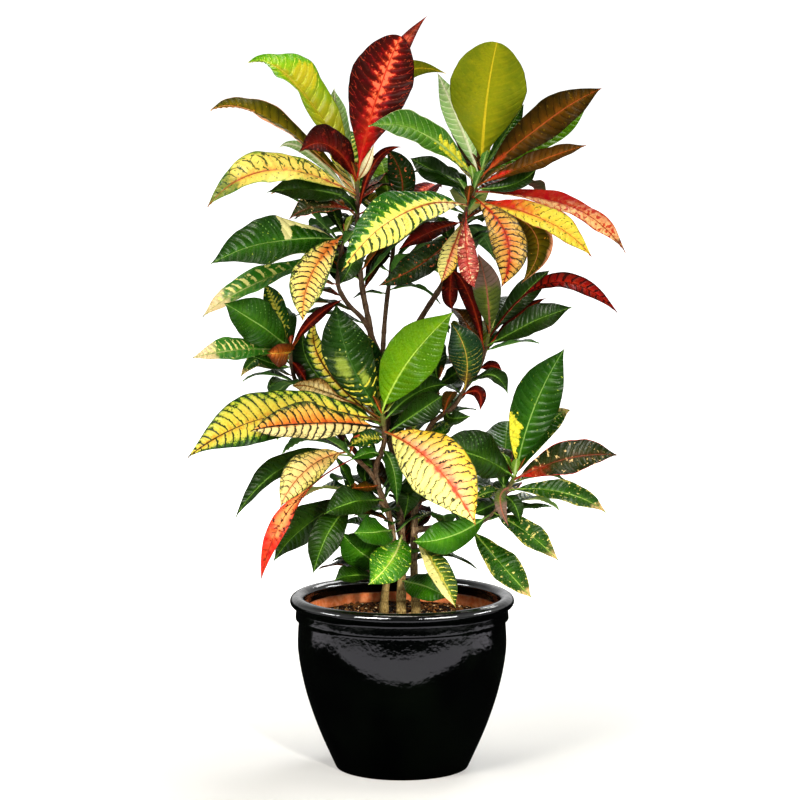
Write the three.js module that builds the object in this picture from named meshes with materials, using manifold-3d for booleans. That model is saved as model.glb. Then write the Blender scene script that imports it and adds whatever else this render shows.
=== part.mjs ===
// A potted croton: three bushy plants rooted side by side in the soil of a glazed pot.
// Millimetres, +Z up. The origin is the centre of the pot's flat underside; the front faces -Y.

import * as THREE from "three";
import { mergeVertices } from "three/addons/utils/BufferGeometryUtils.js";
import Module from "manifold-3d";

const wasm = await Module();
wasm.setup();

// ---- Driving dimensions -------------------------------------------------------------------

const RIM_DIAMETER = 270;
const RIM_HEIGHT = 210;
const ROLL_WIDTH = 17.4;
const ROLL_HEIGHT = 15;
const COLLAR_HEIGHT = 14;
const BODY_DIAMETER = 251;
const BASE_DIAMETER = 160;
const WALL = 9;
const FLOOR = 12;
const DRAIN_HOLE_DIAMETER = 12;
const DRAIN_HOLE_COUNT = 3;
const DRAIN_HOLE_CIRCLE = 42;

const SOIL_LEVEL = 181;
const SOIL_MOUND = 5;
const GAP = 0.3;
const TRUNK_DEPTH = 70;
const HOLE_PLAY = 0.7;

const BLADE_THICKNESS = 0.9;
const STALK_WIDTH = 3.2;
const STALK_THICKNESS = 2.4;
const STALK_SHARE = 0.08;
const SHORTEST_STALK = 5;
const LONGEST_STALK = 15;
const EDGE_WAVE = 0.05;
const SHORT_LEAF = 75;

const POT_SIDES = 44;
const STEM_SIDES = 5;

// Places on the plants are read off in the front view, by a viewer who stands VIEW_DISTANCE in
// front of the pot's axis, VIEW_HEIGHT above its foot, and looks down by VIEW_TILT degrees. A
// place is [across, down, behind]: points of a square picture VIEW_POINTS wide, counted from its
// left and top edges, and millimetres behind the pot's axis (negative is nearer the viewer).
const VIEW_DISTANCE = 3457;
const VIEW_HEIGHT = 844;
const VIEW_SIDEWAYS = -2.4;
const VIEW_TILT = 6.58;
const VIEW_POINTS = 800;
const VIEW_FOCUS = 2911;

// Outline of a blade: where it is widest, and how full it is near its base and near its tip.
const OVAL = [1.08, 0.72, 1.2];
const ROUND = [1.38, 0.8, 0.55];
const SLIM = [1.0, 0.9, 1.4];

// Each stem: the plant it belongs to, its radius at both ends, and the places it passes.
const STEMS = {
  mid_trunk: { plant: "middle", thick: [5.2, 4], places: [
    [401, 616, 0], [402, 560, 8], [401, 520, 14], [396, 470, 18], [388, 425, 20], [382, 365, 12]
  ] },
  top_left: { plant: "middle", thick: [3.9, 2.4], places: [
    [382, 365, 12], [374, 348, 9], [368, 318, 4], [362, 287, 0], [358, 240, -3], [357, 178, 0]
  ] },
  left: { plant: "middle", thick: [3.2, 2.2], places: [
    [380, 356, 11], [364, 321, 0], [347, 303, -8], [338, 285, -14], [340, 258, -14], [345, 234, -12]
  ] },
  back_centre: { plant: "middle", thick: [3, 2.2], places: [
    [382, 365, 12], [384, 330, 22], [387, 299, 32], [392, 262, 42], [396, 222, 46]
  ] },
  mid_left: { plant: "middle", thick: [3.4, 2.2], places: [
    [388, 425, 20], [350, 412, 32], [318, 396, 28], [298, 384, 16], [292, 368, 4], [290, 348, -6]
  ] },
  right_trunk: { plant: "right", thick: [5, 2.6], places: [
    [416, 616, 2], [414, 570, 0], [414, 530, -2], [415, 480, 20], [409, 430, 38], [402, 380, 40],
    [415, 330, 28], [447, 275, 12], [460, 232, 4], [470, 200, 0], [482, 170, 0]
  ] },
  right: { plant: "right", thick: [3.8, 2.4], places: [
    [414, 530, -2], [436, 528, 14], [466, 528, 6], [484, 520, -4], [500, 502, -12], [516, 474, -18]
  ] },
  mid_right: { plant: "right", thick: [3.2, 2.2], places: [
    [414, 470, 26], [431, 425, 10], [454, 406, 2], [466, 387, 0], [480, 366, -3], [490, 332, -4]
  ] },
  inner: { plant: "right", thick: [2.6, 2], places: [[425, 440, 16], [436, 408, 16], [438, 380, 20]] },
  left_trunk: { plant: "left", thick: [4.8, 3], places: [
    [384, 616, -2], [387, 580, -2], [393, 540, -6], [389, 515, -8], [379, 488, -10], [376, 468, -12],
    [384, 442, -16], [382, 412, -20]
  ] },
  lower_left: { plant: "left", thick: [3, 2.2], places: [
    [379, 488, -10], [368, 470, -16], [347, 452, -22]
  ] },
  low_left: { plant: "left", thick: [3, 2.2], places: [
    [389, 515, -8], [380, 502, -14], [366, 498, -20], [352, 502, -26]
  ] },
};

// Leaves seen from the front: stem, millimetres back from the stem's tip, place of the middle of
// the midrib, place of the tip, blade width, direction the upper side faces, fold of the two
// halves in degrees, outline.
const LEAVES = [
  ["top_left", 9, [300, 88, 16], [248, 62, 14], 60, [0, -0.5, 0.87], 28, OVAL],
  ["top_left", 18, [270, 119, -24], [210, 110, -40], 38, [0, -0.5, 0.87], 20, OVAL],
  ["top_left", 30, [308, 152, 30], [279, 148, 46], 13, [0, -1, 0.3], 12, SLIM],
  ["top_left", 6, [331, 146, -22], [299, 152, -40], 46, [0, -0.8, 0.6], 20, OVAL],
  ["top_left", 21, [272, 170, -44], [207, 207, -62], 52, [-0.1, -0.7, 0.7], 14, OVAL],
  ["top_left", 27, [314, 190, -22], [267, 192, -36], 42, [0, -0.8, 0.6], 18, OVAL],
  ["top_left", 0, [376, 100, -10], [401, 36, -10], 76, [-0.1, -1, 0.2], 12, ROUND],
  ["top_left", 15, [383, 85, 12], [428, 15, 22], 24, [0, -1, 0.1], 10, OVAL],
  ["top_left", 24, [386, 88, 38], [447, 74, 52], 30, [0, 1, 0.2], 10, OVAL],
  ["top_left", 22, [340, 130, 36], [334, 88, 46], 28, [-0.3, -1, 0.1], 12, OVAL],
  ["top_left", 3, [366, 166, -28], [374, 144, -32], 12, [0, -1, 0.2], 14, SLIM],
  ["top_left", 40, [318, 207, -38], [289, 219, -48], 32, [0, -0.6, 0.8], 16, OVAL],
  ["top_left", 44, [350, 203, -16], [339, 196, -22], 14, [0, -0.8, 0.5], 14, OVAL],
  ["left", 4, [334, 212, -2], [323, 195, -6], 18, [0, -1, 0.2], 14, OVAL],
  ["left", 8, [276, 241, -44], [210, 264, -64], 62, [0, -0.8, 0.6], 12, OVAL],
  ["left", 0, [312, 273, -56], [303, 322, -60], 44, [-0.1, -1, 0.25], 12, OVAL],
  ["left", 24, [258, 282, -22], [202, 317, -34], 36, [0, -0.65, 0.75], 18, OVAL],
  ["mid_left", 8, [278, 312, 2], [264, 283, 12], 28, [-0.3, -1, 0.2], 14, OVAL],
  ["mid_left", 0, [258, 324, -36], [224, 303, -48], 56, [-0.3, -0.8, 0.5], 14, OVAL],
  ["mid_left", 9, [262, 342, -16], [234, 322, -26], 26, [-0.3, -0.6, -0.6], 10, OVAL],
  ["mid_left", 3, [238, 350, -58], [192, 358, -80], 34, [-0.1, -0.8, 0.6], 14, OVAL],
  ["mid_left", 13, [262, 356, -12], [240, 378, -14], 18, [0, -1, 0.2], 14, OVAL],
  ["mid_left", 26, [274, 364, -16], [253, 356, -24], 14, [0, -0.8, 0.5], 10, OVAL],
  ["mid_left", 5, [283, 353, -26], [264, 353, -38], 34, [0.2, -1, -0.3], 20, OVAL],
  ["mid_left", 18, [298, 368, -2], [307, 383, -6], 13, [0, -1, 0], 10, SLIM],
  ["mid_left", 1, [314, 319, -18], [344, 299, -22], 14, [0, -1, 0.3], 20, SLIM],
  ["left_trunk", 6, [350, 360, -34], [336, 303, -26], 60, [0.05, -1, 0.25], 12, OVAL],
  ["left_trunk", 20, [372, 372, -6], [354, 322, 6], 34, [0.3, -1, 0.2], 10, OVAL],
  ["left_trunk", 14, [324, 366, -4], [316, 318, 6], 26, [-0.5, -1, 0.2], 10, OVAL],
  ["left_trunk", 18, [318, 376, 6], [304, 332, 14], 42, [-0.2, -1, 0.2], 10, OVAL],
  ["left_trunk", 0, [408, 362, -40], [454, 311, -38], 64, [-0.1, -1, 0.2], 10, OVAL],
  ["left_trunk", 12, [276, 416, -66], [187, 458, -98], 66, [-0.05, -0.85, 0.5], 10, OVAL],
  ["left_trunk", 20, [314, 423, -74], [250, 431, -96], 52, [-0.05, -0.8, 0.6], 10, OVAL],
  ["left_trunk", 9, [328, 392, -20], [292, 386, -26], 34, [0, -1, -0.2], 16, OVAL],
  ["lower_left", 8, [286, 466, -48], [235, 518, -60], 34, [0, -0.6, 0.8], 22, OVAL],
  ["lower_left", 0, [307, 469, -66], [280, 508, -80], 34, [-0.1, -0.9, 0.4], 12, OVAL],
  ["lower_left", 12, [292, 506, -54], [261, 580, -66], 26, [-0.3, -0.9, 0.2], 14, OVAL],
  ["low_left", 3, [310, 522, -32], [273, 562, -42], 46, [-0.3, -0.8, 0.5], 14, OVAL],
  ["low_left", 0, [329, 532, -62], [313, 574, -72], 40, [-0.2, -1, 0.2], 12, OVAL],
  ["left_trunk", 112, [354, 502, -56], [324, 514, -70], 44, [0, -0.8, 0.6], 14, OVAL],
  ["left_trunk", 92, [368, 487, -36], [352, 488, -46], 15, [0, -0.8, 0.6], 14, OVAL],
  ["left_trunk", 150, [376, 532, -50], [353, 533, -64], 44, [0, -0.85, 0.5], 12, OVAL],
  ["left_trunk", 196, [362, 553, -28], [341, 532, -38], 42, [-0.3, -1, 0.2], 10, OVAL],
  ["mid_trunk", 208, [391, 561, -66], [368, 585, -88], 50, [0, -0.9, 0.45], 12, OVAL],
  ["left_trunk", 214, [357, 575, -52], [334, 581, -66], 32, [0, -0.6, 0.8], 12, OVAL],
  ["mid_trunk", 264, [424, 586, -48], [449, 598, -66], 42, [0, -0.85, 0.5], 10, OVAL],
  ["right_trunk", 468, [438, 571, -66], [456, 608, -84], 32, [0.3, -0.9, 0.2], 22, OVAL],
  ["left_trunk", 24, [434, 465, -96], [476, 526, -130], 77, [0.05, -0.95, 0.3], 9, OVAL],
  ["right", 5, [478, 456, -54], [436, 448, -58], 60, [-0.1, -0.85, 0.5], 12, OVAL],
  ["right", 0, [534, 408, -34], [565, 348, -36], 57, [-0.1, -1, 0.15], 12, OVAL],
  ["right", 14, [543, 430, -4], [571, 410, 4], 27, [0, -1, 0.3], 12, OVAL],
  ["right", 9, [566, 459, -42], [618, 455, -56], 44, [0.1, -0.85, 0.5], 14, OVAL],
  ["right", 23, [562, 492, -52], [607, 513, -66], 32, [0.1, -0.75, 0.65], 12, OVAL],
  ["right", 56, [526, 532, -48], [559, 561, -62], 32, [0.1, -0.8, 0.6], 12, OVAL],
  ["right", 19, [500, 500, -62], [509, 527, -72], 16, [0.2, -1, 0.2], 14, SLIM],
  ["right", 27, [490, 492, -38], [474, 499, -46], 16, [0, -0.8, 0.5], 14, OVAL],
  ["right", 38, [486, 508, -28], [473, 513, -34], 18, [0, -1, 0.3], 14, OVAL],
  ["right", 31, [514, 504, -34], [520, 522, -42], 20, [0.2, -1, 0.2], 14, OVAL],
  ["right", 92, [502, 565, -60], [532, 598, -76], 38, [0.15, -0.85, 0.5], 12, OVAL],
  ["right", 60, [449, 537, -50], [413, 541, -58], 42, [0, -0.85, 0.5], 10, OVAL],
  ["right_trunk", 15, [424, 134, -34], [368, 126, -44], 46, [0, -0.75, 0.65], 12, OVAL],
  ["right_trunk", 8, [459, 122, 26], [437, 72, 38], 30, [0, -1, 0.1], 12, OVAL],
  ["right_trunk", 0, [486, 105, 8], [497, 42, 2], 92, [0, 1, -0.1], 8, ROUND],
  ["back_centre", 2, [402, 180, 36], [385, 148, 26], 34, [0, -1, 0.2], 12, OVAL],
  ["top_left", 48, [374, 164, 6], [402, 147, 4], 12, [0, -1, 0.2], 12, SLIM],
  ["right_trunk", 27, [436, 172, 24], [410, 158, 26], 30, [0, -1, 0.3], 12, OVAL],
  ["right_trunk", 3, [508, 130, 30], [524, 104, 32], 18, [0, -1, 0.2], 12, OVAL],
  ["right_trunk", 12, [544, 123, -18], [602, 88, -22], 46, [0.1, -1, 0.4], 14, OVAL],
  ["right_trunk", 6, [546, 137, 18], [587, 106, 28], 28, [0, -1, 0.3], 12, OVAL],
  ["right_trunk", 20, [536, 162, -28], [586, 145, -38], 30, [0.1, -0.7, 0.7], 14, OVAL],
  ["right_trunk", 24, [514, 184, -14], [537, 167, -20], 22, [0, -0.8, 0.5], 12, OVAL],
  ["right_trunk", 41, [541, 218, -54], [592, 257, -68], 38, [0.1, -0.75, 0.65], 12, OVAL],
  ["right_trunk", 28, [568, 206, -28], [626, 253, -40], 30, [0.1, -0.7, 0.7], 12, OVAL],
  ["right_trunk", 33, [507, 238, -70], [501, 288, -78], 44, [0.1, -1, 0.2], 10, OVAL],
  ["right_trunk", 37, [534, 232, -22], [521, 284, -28], 36, [0.2, -1, 0.2], 12, OVAL],
  ["mid_right", 11, [549, 283, -30], [618, 313, -44], 26, [0, -0.7, 0.7], 14, OVAL],
  ["mid_right", 5, [522, 296, -2], [550, 270, 6], 28, [0, -1, 0.3], 12, OVAL],
  ["mid_right", 22, [518, 316, -4], [546, 298, -6], 14, [0, -0.8, 0.5], 14, SLIM],
  ["mid_right", 18, [531, 323, -38], [572, 307, -50], 38, [0.1, -0.8, 0.6], 14, OVAL],
  ["mid_right", 2, [487, 292, -48], [478, 253, -60], 34, [0.1, -1, 0.1], 12, OVAL],
  ["right_trunk", 60, [451, 254, -50], [441, 283, -54], 26, [-0.3, -1, 0.1], 14, OVAL],
  ["right_trunk", 52, [467, 258, -64], [475, 288, -72], 26, [0.2, -1, 0.1], 14, OVAL],
  ["mid_right", 26, [470, 298, -16], [452, 270, -24], 20, [-0.2, -1, 0.2], 14, OVAL],
  ["right_trunk", 90, [450, 288, -8], [453, 309, -12], 20, [0, -1, 0.1], 14, OVAL],
  ["right_trunk", 46, [403, 213, -74], [341, 272, -96], 64, [-0.1, -0.8, 0.6], 10, OVAL],
  ["right_trunk", 66, [432, 231, -36], [398, 250, -42], 24, [-0.1, -0.8, 0.5], 12, OVAL],
  ["right_trunk", 74, [424, 262, -26], [378, 286, -34], 36, [-0.1, -0.9, 0.4], 12, OVAL],
  ["top_left", 70, [352, 262, -24], [340, 284, -30], 30, [-0.2, -1, 0.4], 12, OVAL],
  ["mid_right", 78, [466, 354, -26], [450, 322, -30], 44, [0, -1, 0.2], 16, OVAL],
  ["mid_right", 70, [492, 375, -30], [508, 394, -36], 24, [0, -0.6, 0.8], 14, OVAL],
  ["mid_right", 86, [478, 392, -20], [480, 411, -24], 16, [0, -1, 0.2], 14, OVAL],
  ["mid_right", 48, [490, 366, -12], [502, 370, -18], 14, [0, -1, 0.4], 14, OVAL],
  ["inner", 2, [436, 360, 12], [441, 337, 12], 26, [0, -1, 0.2], 14, OVAL],
  ["inner", 4, [452, 376, 2], [467, 364, -6], 22, [0, -0.8, 0.5], 14, OVAL],
  ["left_trunk", 12, [416, 393, -16], [448, 385, -20], 36, [0.1, -1, 0.4], 14, OVAL],
  ["left_trunk", 28, [424, 408, -34], [442, 396, -44], 34, [0.1, -1, 0.2], 14, OVAL],
  ["mid_right", 112, [452, 418, -16], [471, 416, -22], 20, [0, -0.9, 0.5], 14, OVAL],
  ["left_trunk", 34, [368, 438, -38], [348, 447, -48], 28, [0, -0.8, 0.6], 14, OVAL],
  ["left_trunk", 54, [370, 453, -30], [350, 460, -38], 18, [0, -0.8, 0.6], 14, OVAL],
  ["left_trunk", 74, [366, 466, -2], [366, 486, 2], 22, [0, -1, 0.2], 14, OVAL],
  ["left_trunk", 46, [393, 468, -34], [397, 505, -38], 20, [0.1, -1, 0.2], 14, OVAL],
  ["mid_trunk", 170, [408, 494, -16], [404, 519, -20], 32, [0.1, -1, 0.2], 14, OVAL],
];

// Leaves on the far side: stem, millimetres back from the stem's tip, heading (degrees, 0 is
// right, 90 is away from the viewer), lift in degrees, length, blade width, droop of the tip.
const FAR_LEAVES = [
  ["top_left", 42, 104, 54, 150, 56, 22],
  ["top_left", 26, 80, 14, 140, 46, 30],
  ["top_left", 46, 142, 22, 145, 46, 30],
  ["top_left", 58, 112, -2, 150, 50, 18],
  ["left", 14, 140, 8, 140, 46, 34],
  ["left", 36, 150, 8, 110, 36, 26],
  ["back_centre", 8, 112, 60, 118, 50, 14],
  ["back_centre", 14, 60, 34, 140, 46, 26],
  ["back_centre", 16, 128, 34, 135, 46, 26],
  ["back_centre", 26, 84, 18, 160, 54, 34],
  ["back_centre", 40, 118, 0, 145, 46, 34],
  ["mid_left", 10, 112, 24, 135, 46, 26],
  ["mid_left", 16, 150, 12, 120, 40, 28],
  ["mid_left", 34, 84, 10, 140, 46, 32],
  ["mid_left", 70, 112, 0, 135, 44, 28],
  ["right_trunk", 18, 92, 38, 150, 54, 20],
  ["right_trunk", 22, 104, 24, 150, 48, 30],
  ["right_trunk", 30, 48, 8, 145, 46, 32],
  ["right_trunk", 44, 88, 4, 150, 50, 36],
  ["right_trunk", 74, 70, -8, 130, 42, 28],
  ["right_trunk", 250, 60, 24, 120, 42, 26],
  ["right_trunk", 285, 108, 18, 150, 50, 34],
  ["right_trunk", 330, 68, 10, 145, 48, 34],
  ["right", 34, 84, 48, 140, 50, 22],
  ["right", 46, 118, 14, 145, 48, 30],
  ["right", 64, 40, 12, 120, 40, 28],
  ["right", 70, 84, 8, 140, 44, 32],
  ["mid_right", 16, 66, 36, 120, 40, 22],
  ["mid_right", 24, 104, 18, 125, 42, 26],
  ["inner", 6, 100, 34, 110, 40, 20],
  ["left_trunk", 26, 118, 30, 140, 50, 24],
  ["left_trunk", 30, 168, 10, 135, 44, 30],
  ["mid_trunk", 66, 96, 16, 165, 54, 36],
  ["mid_trunk", 100, 108, 6, 135, 46, 36],
  ["mid_trunk", 128, 78, 6, 160, 50, 38],
  ["mid_trunk", 196, 112, 6, 140, 48, 34],
  ["lower_left", 10, 134, 10, 130, 42, 30],
  ["low_left", 10, 132, 4, 125, 42, 32],
];

// ---- Solids -------------------------------------------------------------------------------

// A manifold from rows of points and triangles that index them.
function solidFrom(points, triangles) {
  const vertProperties = new Float32Array(points.flatMap((point) => [point.x, point.y, point.z]));
  const triVerts = new Uint32Array(triangles.flat());
  return new wasm.Manifold(new wasm.Mesh({ numProp: 3, vertProperties, triVerts }));
}

function solidFromGeometry(geometry) {
  geometry.deleteAttribute("normal");
  geometry.deleteAttribute("uv");
  const merged = mergeVertices(geometry, 1e-4);
  const vertProperties = new Float32Array(merged.attributes.position.array);
  const triVerts = new Uint32Array(merged.index.array);
  return new wasm.Manifold(new wasm.Mesh({ numProp: 3, vertProperties, triVerts }));
}

function geometryFromSolid(solid) {
  const mesh = solid.getMesh();
  const geometry = new THREE.BufferGeometry();
  geometry.setAttribute("position", new THREE.BufferAttribute(mesh.vertProperties, 3));
  geometry.setIndex(new THREE.BufferAttribute(mesh.triVerts, 1));
  geometry.computeVertexNormals();
  return geometry;
}

function fuse(solids) {
  return solids.reduce((whole, solid) => whole.add(solid));
}

// The flat face between two neighbouring rows of points, cut along one diagonal.
function quad(a, b, c, d) {
  return [[a, b, c], [a, c, d]];
}

// ---- Places and curves --------------------------------------------------------------------

// The point of space that the viewer sees at a place.
function seen([across, down, behind]) {
  const tilt = THREE.MathUtils.degToRad(VIEW_TILT);
  const right = (across - VIEW_POINTS / 2) / VIEW_FOCUS;
  const up = (VIEW_POINTS / 2 - down) / VIEW_FOCUS;
  const ray = new THREE.Vector3(
    right,
    Math.cos(tilt) + up * Math.sin(tilt),
    up * Math.cos(tilt) - Math.sin(tilt),
  );
  const viewer = new THREE.Vector3(VIEW_SIDEWAYS, -VIEW_DISTANCE, VIEW_HEIGHT);
  return viewer.addScaledVector(ray, (behind + VIEW_DISTANCE) / ray.y);
}

// A trunk stands upright in the soil, straight below the first of its places.
function stemCurve(name) {
  const points = STEMS[name].places.map(seen);
  if (name.endsWith("trunk")) {
    const { x, y } = points.shift();
    const heights = [SOIL_LEVEL - TRUNK_DEPTH, SOIL_LEVEL - TRUNK_DEPTH / 2, SOIL_LEVEL + 3 * SOIL_MOUND];
    points.unshift(...heights.map((height) => new THREE.Vector3(x, y, height)));
  }
  return new THREE.CatmullRomCurve3(points, false, "centripetal");
}

const stemCurves = Object.fromEntries(Object.keys(STEMS).map((name) => [name, stemCurve(name)]));

function placeOnStem(name, back) {
  const curve = stemCurves[name];
  return curve.getPointAt(Math.max(0, 1 - back / curve.getLength()));
}

// The midrib bends once, through its middle point.
function midribThrough(root, middle, tip) {
  const bend = middle.clone().multiplyScalar(2).addScaledVector(root, -0.5).addScaledVector(tip, -0.5);
  return new THREE.QuadraticBezierCurve3(root, bend, tip);
}

// A repeatable draw between 0 and 1 for a leaf's own number.
function draw(seed, which) {
  const value = Math.sin(seed * 127.1 + which * 311.7) * 43758.5453;
  return value - Math.floor(value);
}

// ---- Pot and soil -------------------------------------------------------------------------

function bodyOutline() {
  const top = RIM_HEIGHT - ROLL_HEIGHT - COLLAR_HEIGHT;
  const widest = BODY_DIAMETER / 2;
  const foot = BASE_DIAMETER / 2;
  const belly = new THREE.SplineCurve([
    new THREE.Vector2(foot, 0),
    new THREE.Vector2(0.53 * foot + 0.47 * widest, 0.27 * top),
    new THREE.Vector2(0.19 * foot + 0.81 * widest, 0.53 * top),
    new THREE.Vector2(widest, 0.79 * top),
    new THREE.Vector2(widest - 1, top),
  ]);
  return belly.getPoints(6);
}

// The inner wall from the floor up, one wall thickness inside the body.
function innerWall() {
  const wall = bodyOutline()
    .filter((point) => point.y > FLOOR + 10)
    .map((point) => new THREE.Vector2(point.x - WALL, point.y));
  return [new THREE.Vector2(BASE_DIAMETER / 2 - 4, FLOOR), ...wall];
}

// Outside from the foot up, over the rolled rim, and down the inner wall to the floor.
function potOutline() {
  const collarTop = RIM_HEIGHT - ROLL_HEIGHT;
  const rollCentre = new THREE.Vector2((RIM_DIAMETER - ROLL_WIDTH) / 2, RIM_HEIGHT - ROLL_HEIGHT / 2);
  const collar = [
    new THREE.Vector2(BODY_DIAMETER / 2 + 1.5, collarTop - COLLAR_HEIGHT + 1.5),
    new THREE.Vector2(BODY_DIAMETER / 2 + 3, collarTop - 1),
  ];
  const roll = [];
  for (let step = 0; step <= 6; step += 1) {
    const turn = THREE.MathUtils.degToRad(-58 + step * 46);
    roll.push(new THREE.Vector2(
      rollCentre.x + (ROLL_WIDTH / 2) * Math.cos(turn),
      rollCentre.y + (ROLL_HEIGHT / 2) * Math.sin(turn),
    ));
  }
  const axis = [new THREE.Vector2(0, 0), new THREE.Vector2(0, FLOOR)];
  return [axis[0], ...bodyOutline(), ...collar, ...roll, ...innerWall().reverse(), axis[1]];
}

function latheSolid(outline) {
  const geometry = new THREE.LatheGeometry(outline, POT_SIDES);
  geometry.rotateX(Math.PI / 2);
  return solidFromGeometry(geometry);
}

function cylinderSolid(radius, bottom, top, x, y) {
  const geometry = new THREE.CylinderGeometry(radius, radius, top - bottom, 12);
  geometry.rotateX(Math.PI / 2);
  geometry.translate(x, y, (top + bottom) / 2);
  return solidFromGeometry(geometry);
}

function potSolid() {
  let pot = latheSolid(potOutline());
  for (let i = 0; i < DRAIN_HOLE_COUNT; i += 1) {
    const angle = (i / DRAIN_HOLE_COUNT) * 2 * Math.PI + Math.PI / 2;
    const x = DRAIN_HOLE_CIRCLE * Math.cos(angle);
    const y = DRAIN_HOLE_CIRCLE * Math.sin(angle);
    pot = pot.subtract(cylinderSolid(DRAIN_HOLE_DIAMETER / 2, -1, FLOOR + 1, x, y));
  }
  return pot;
}

// The soil fills the pot a hair's breadth inside its wall, with a plain hole for each trunk.
function soilSolid() {
  const wall = innerWall().map((point) => new THREE.Vector2(point.x - GAP, Math.max(point.y, FLOOR + GAP)));
  const edge = wall[wall.length - 1];
  const outline = [new THREE.Vector2(0, FLOOR + GAP), ...wall];
  for (const share of [0.3, 0.6, 1]) {
    const height = SOIL_LEVEL + SOIL_MOUND * Math.sin((share * Math.PI) / 2);
    outline.push(new THREE.Vector2(edge.x * (1 - share), height));
  }
  let soil = latheSolid(outline);
  for (const name of Object.keys(STEMS).filter((stem) => stem.endsWith("trunk"))) {
    const foot = stemCurves[name].points[0];
    const radius = STEMS[name].thick[0] + HOLE_PLAY;
    const top = SOIL_LEVEL + 3 * SOIL_MOUND;
    soil = soil.subtract(cylinderSolid(radius, foot.z - GAP, top, foot.x, foot.y));
  }
  return soil;
}

// ---- Plants -------------------------------------------------------------------------------

// A round stem that tapers along its curve, closed at both ends.
function stemSolid(name) {
  const curve = stemCurves[name];
  const [start, end] = STEMS[name].thick;
  const steps = Math.max(3, Math.round(curve.getLength() / 42));
  const frames = curve.computeFrenetFrames(steps, false);
  const points = [];
  const triangles = [];
  for (let step = 0; step <= steps; step += 1) {
    const centre = curve.getPointAt(step / steps);
    const radius = start + (end - start) * (step / steps);
    for (let side = 0; side < STEM_SIDES; side += 1) {
      const angle = (side / STEM_SIDES) * 2 * Math.PI;
      points.push(centre.clone()
        .addScaledVector(frames.normals[step], radius * Math.cos(angle))
        .addScaledVector(frames.binormals[step], radius * Math.sin(angle)));
    }
  }
  for (let step = 0; step < steps; step += 1) {
    for (let side = 0; side < STEM_SIDES; side += 1) {
      const next = (side + 1) % STEM_SIDES;
      const [low, high] = [step * STEM_SIDES, (step + 1) * STEM_SIDES];
      triangles.push(...quad(low + side, low + next, high + next, high + side));
    }
  }
  const last = steps * STEM_SIDES;
  for (let side = 1; side < STEM_SIDES - 1; side += 1) {
    triangles.push([0, side + 1, side]);
    triangles.push([last, last + side, last + side + 1]);
  }
  return solidFrom(points, triangles);
}

// Share of its full width that a blade has at a share of its length.
function bladeShare([widest, atBase, atTip], along) {
  const fullness = atBase + (atTip - atBase) * along * along;
  return Math.max(0, Math.sin(Math.PI * along ** widest)) ** fullness;
}

// Stations along a leaf: the stalk from inside the stem, then the blade to its tip.
function leafStations(length) {
  const stalk = Math.min(LONGEST_STALK, Math.max(SHORTEST_STALK, STALK_SHARE * length)) / length;
  const steps = Math.min(5, Math.max(3, Math.round(length / 36)));
  const stations = [{ along: 0, blade: 0 }, { along: stalk, blade: 0.02 }];
  for (let step = 1; step <= steps; step += 1) {
    const blade = Math.sin((step / steps) * Math.PI / 2) ** 1.2;
    stations.push({ along: stalk + (1 - stalk) * blade, blade });
  }
  return stations;
}

// One leaf: a thin blade folded along its midrib, with waved edges, on a short stalk. Its upper
// and lower faces have the same triangles, one blade thickness apart.
function leafSolid(leaf, seed) {
  const length = leaf.midrib.getLength();
  const stations = leafStations(length);
  const fold = THREE.MathUtils.degToRad(leaf.fold);
  const columns = length < SHORT_LEAF ? [-1, 1] : [-1, 0, 1];
  const points = [];
  for (const { along, blade } of stations) {
    const centre = leaf.midrib.getPoint(along);
    const direction = leaf.midrib.getTangent(along);
    const up = leaf.faces.clone().addScaledVector(direction, -leaf.faces.dot(direction)).normalize();
    const side = direction.clone().cross(up);
    const half = Math.max(STALK_WIDTH * (1 - 0.6 * blade), leaf.width * bladeShare(leaf.outline, blade)) / 2;
    const thickness = Math.max(BLADE_THICKNESS, STALK_THICKNESS * (1 - 3 * blade));
    for (const column of columns) {
      const phase = draw(seed, column > 0 ? 1 : 2);
      const wave = EDGE_WAVE * leaf.width * Math.sin(Math.PI * blade)
        * Math.sin(2 * Math.PI * (2.5 * blade + phase)) * Math.abs(column);
      const lift = half * Math.abs(column) * Math.sin(fold) + wave;
      const onBlade = centre.clone()
        .addScaledVector(side, half * column * Math.cos(fold))
        .addScaledVector(up, lift);
      points.push(onBlade.clone().addScaledVector(up, thickness / 2));
      points.push(onBlade.clone().addScaledVector(up, -thickness / 2));
    }
  }
  return solidFrom(points, leafTriangles(stations.length, columns.length));
}

function leafTriangles(rows, columns) {
  const upper = (row, column) => 2 * (row * columns + column);
  const lower = (row, column) => upper(row, column) + 1;
  const triangles = [];
  for (let row = 0; row < rows - 1; row += 1) {
    for (let column = 0; column < columns - 1; column += 1) {
      const corners = [[row, column], [row, column + 1], [row + 1, column + 1], [row + 1, column]];
      triangles.push(...quad(...corners.map((corner) => upper(...corner))));
      const below = corners.map((corner) => lower(...corner));
      triangles.push([below[0], below[2], below[1]], [below[0], below[3], below[2]]);
    }
    const last = columns - 1;
    triangles.push(...quad(upper(row, 0), upper(row + 1, 0), lower(row + 1, 0), lower(row, 0)));
    triangles.push(...quad(upper(row, last), lower(row, last), lower(row + 1, last), upper(row + 1, last)));
  }
  const end = rows - 1;
  for (let column = 0; column < columns - 1; column += 1) {
    const next = column + 1;
    triangles.push(...quad(upper(0, column), lower(0, column), lower(0, next), upper(0, next)));
    triangles.push(...quad(upper(end, column), upper(end, next), lower(end, next), lower(end, column)));
  }
  return triangles;
}

function nearLeaves() {
  return LEAVES.map(([stem, back, middle, tip, width, faces, fold, outline]) => ({
    plant: STEMS[stem].plant,
    midrib: midribThrough(placeOnStem(stem, back), seen(middle), seen(tip)),
    faces: new THREE.Vector3(...faces),
    width,
    fold,
    outline,
  }));
}

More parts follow.
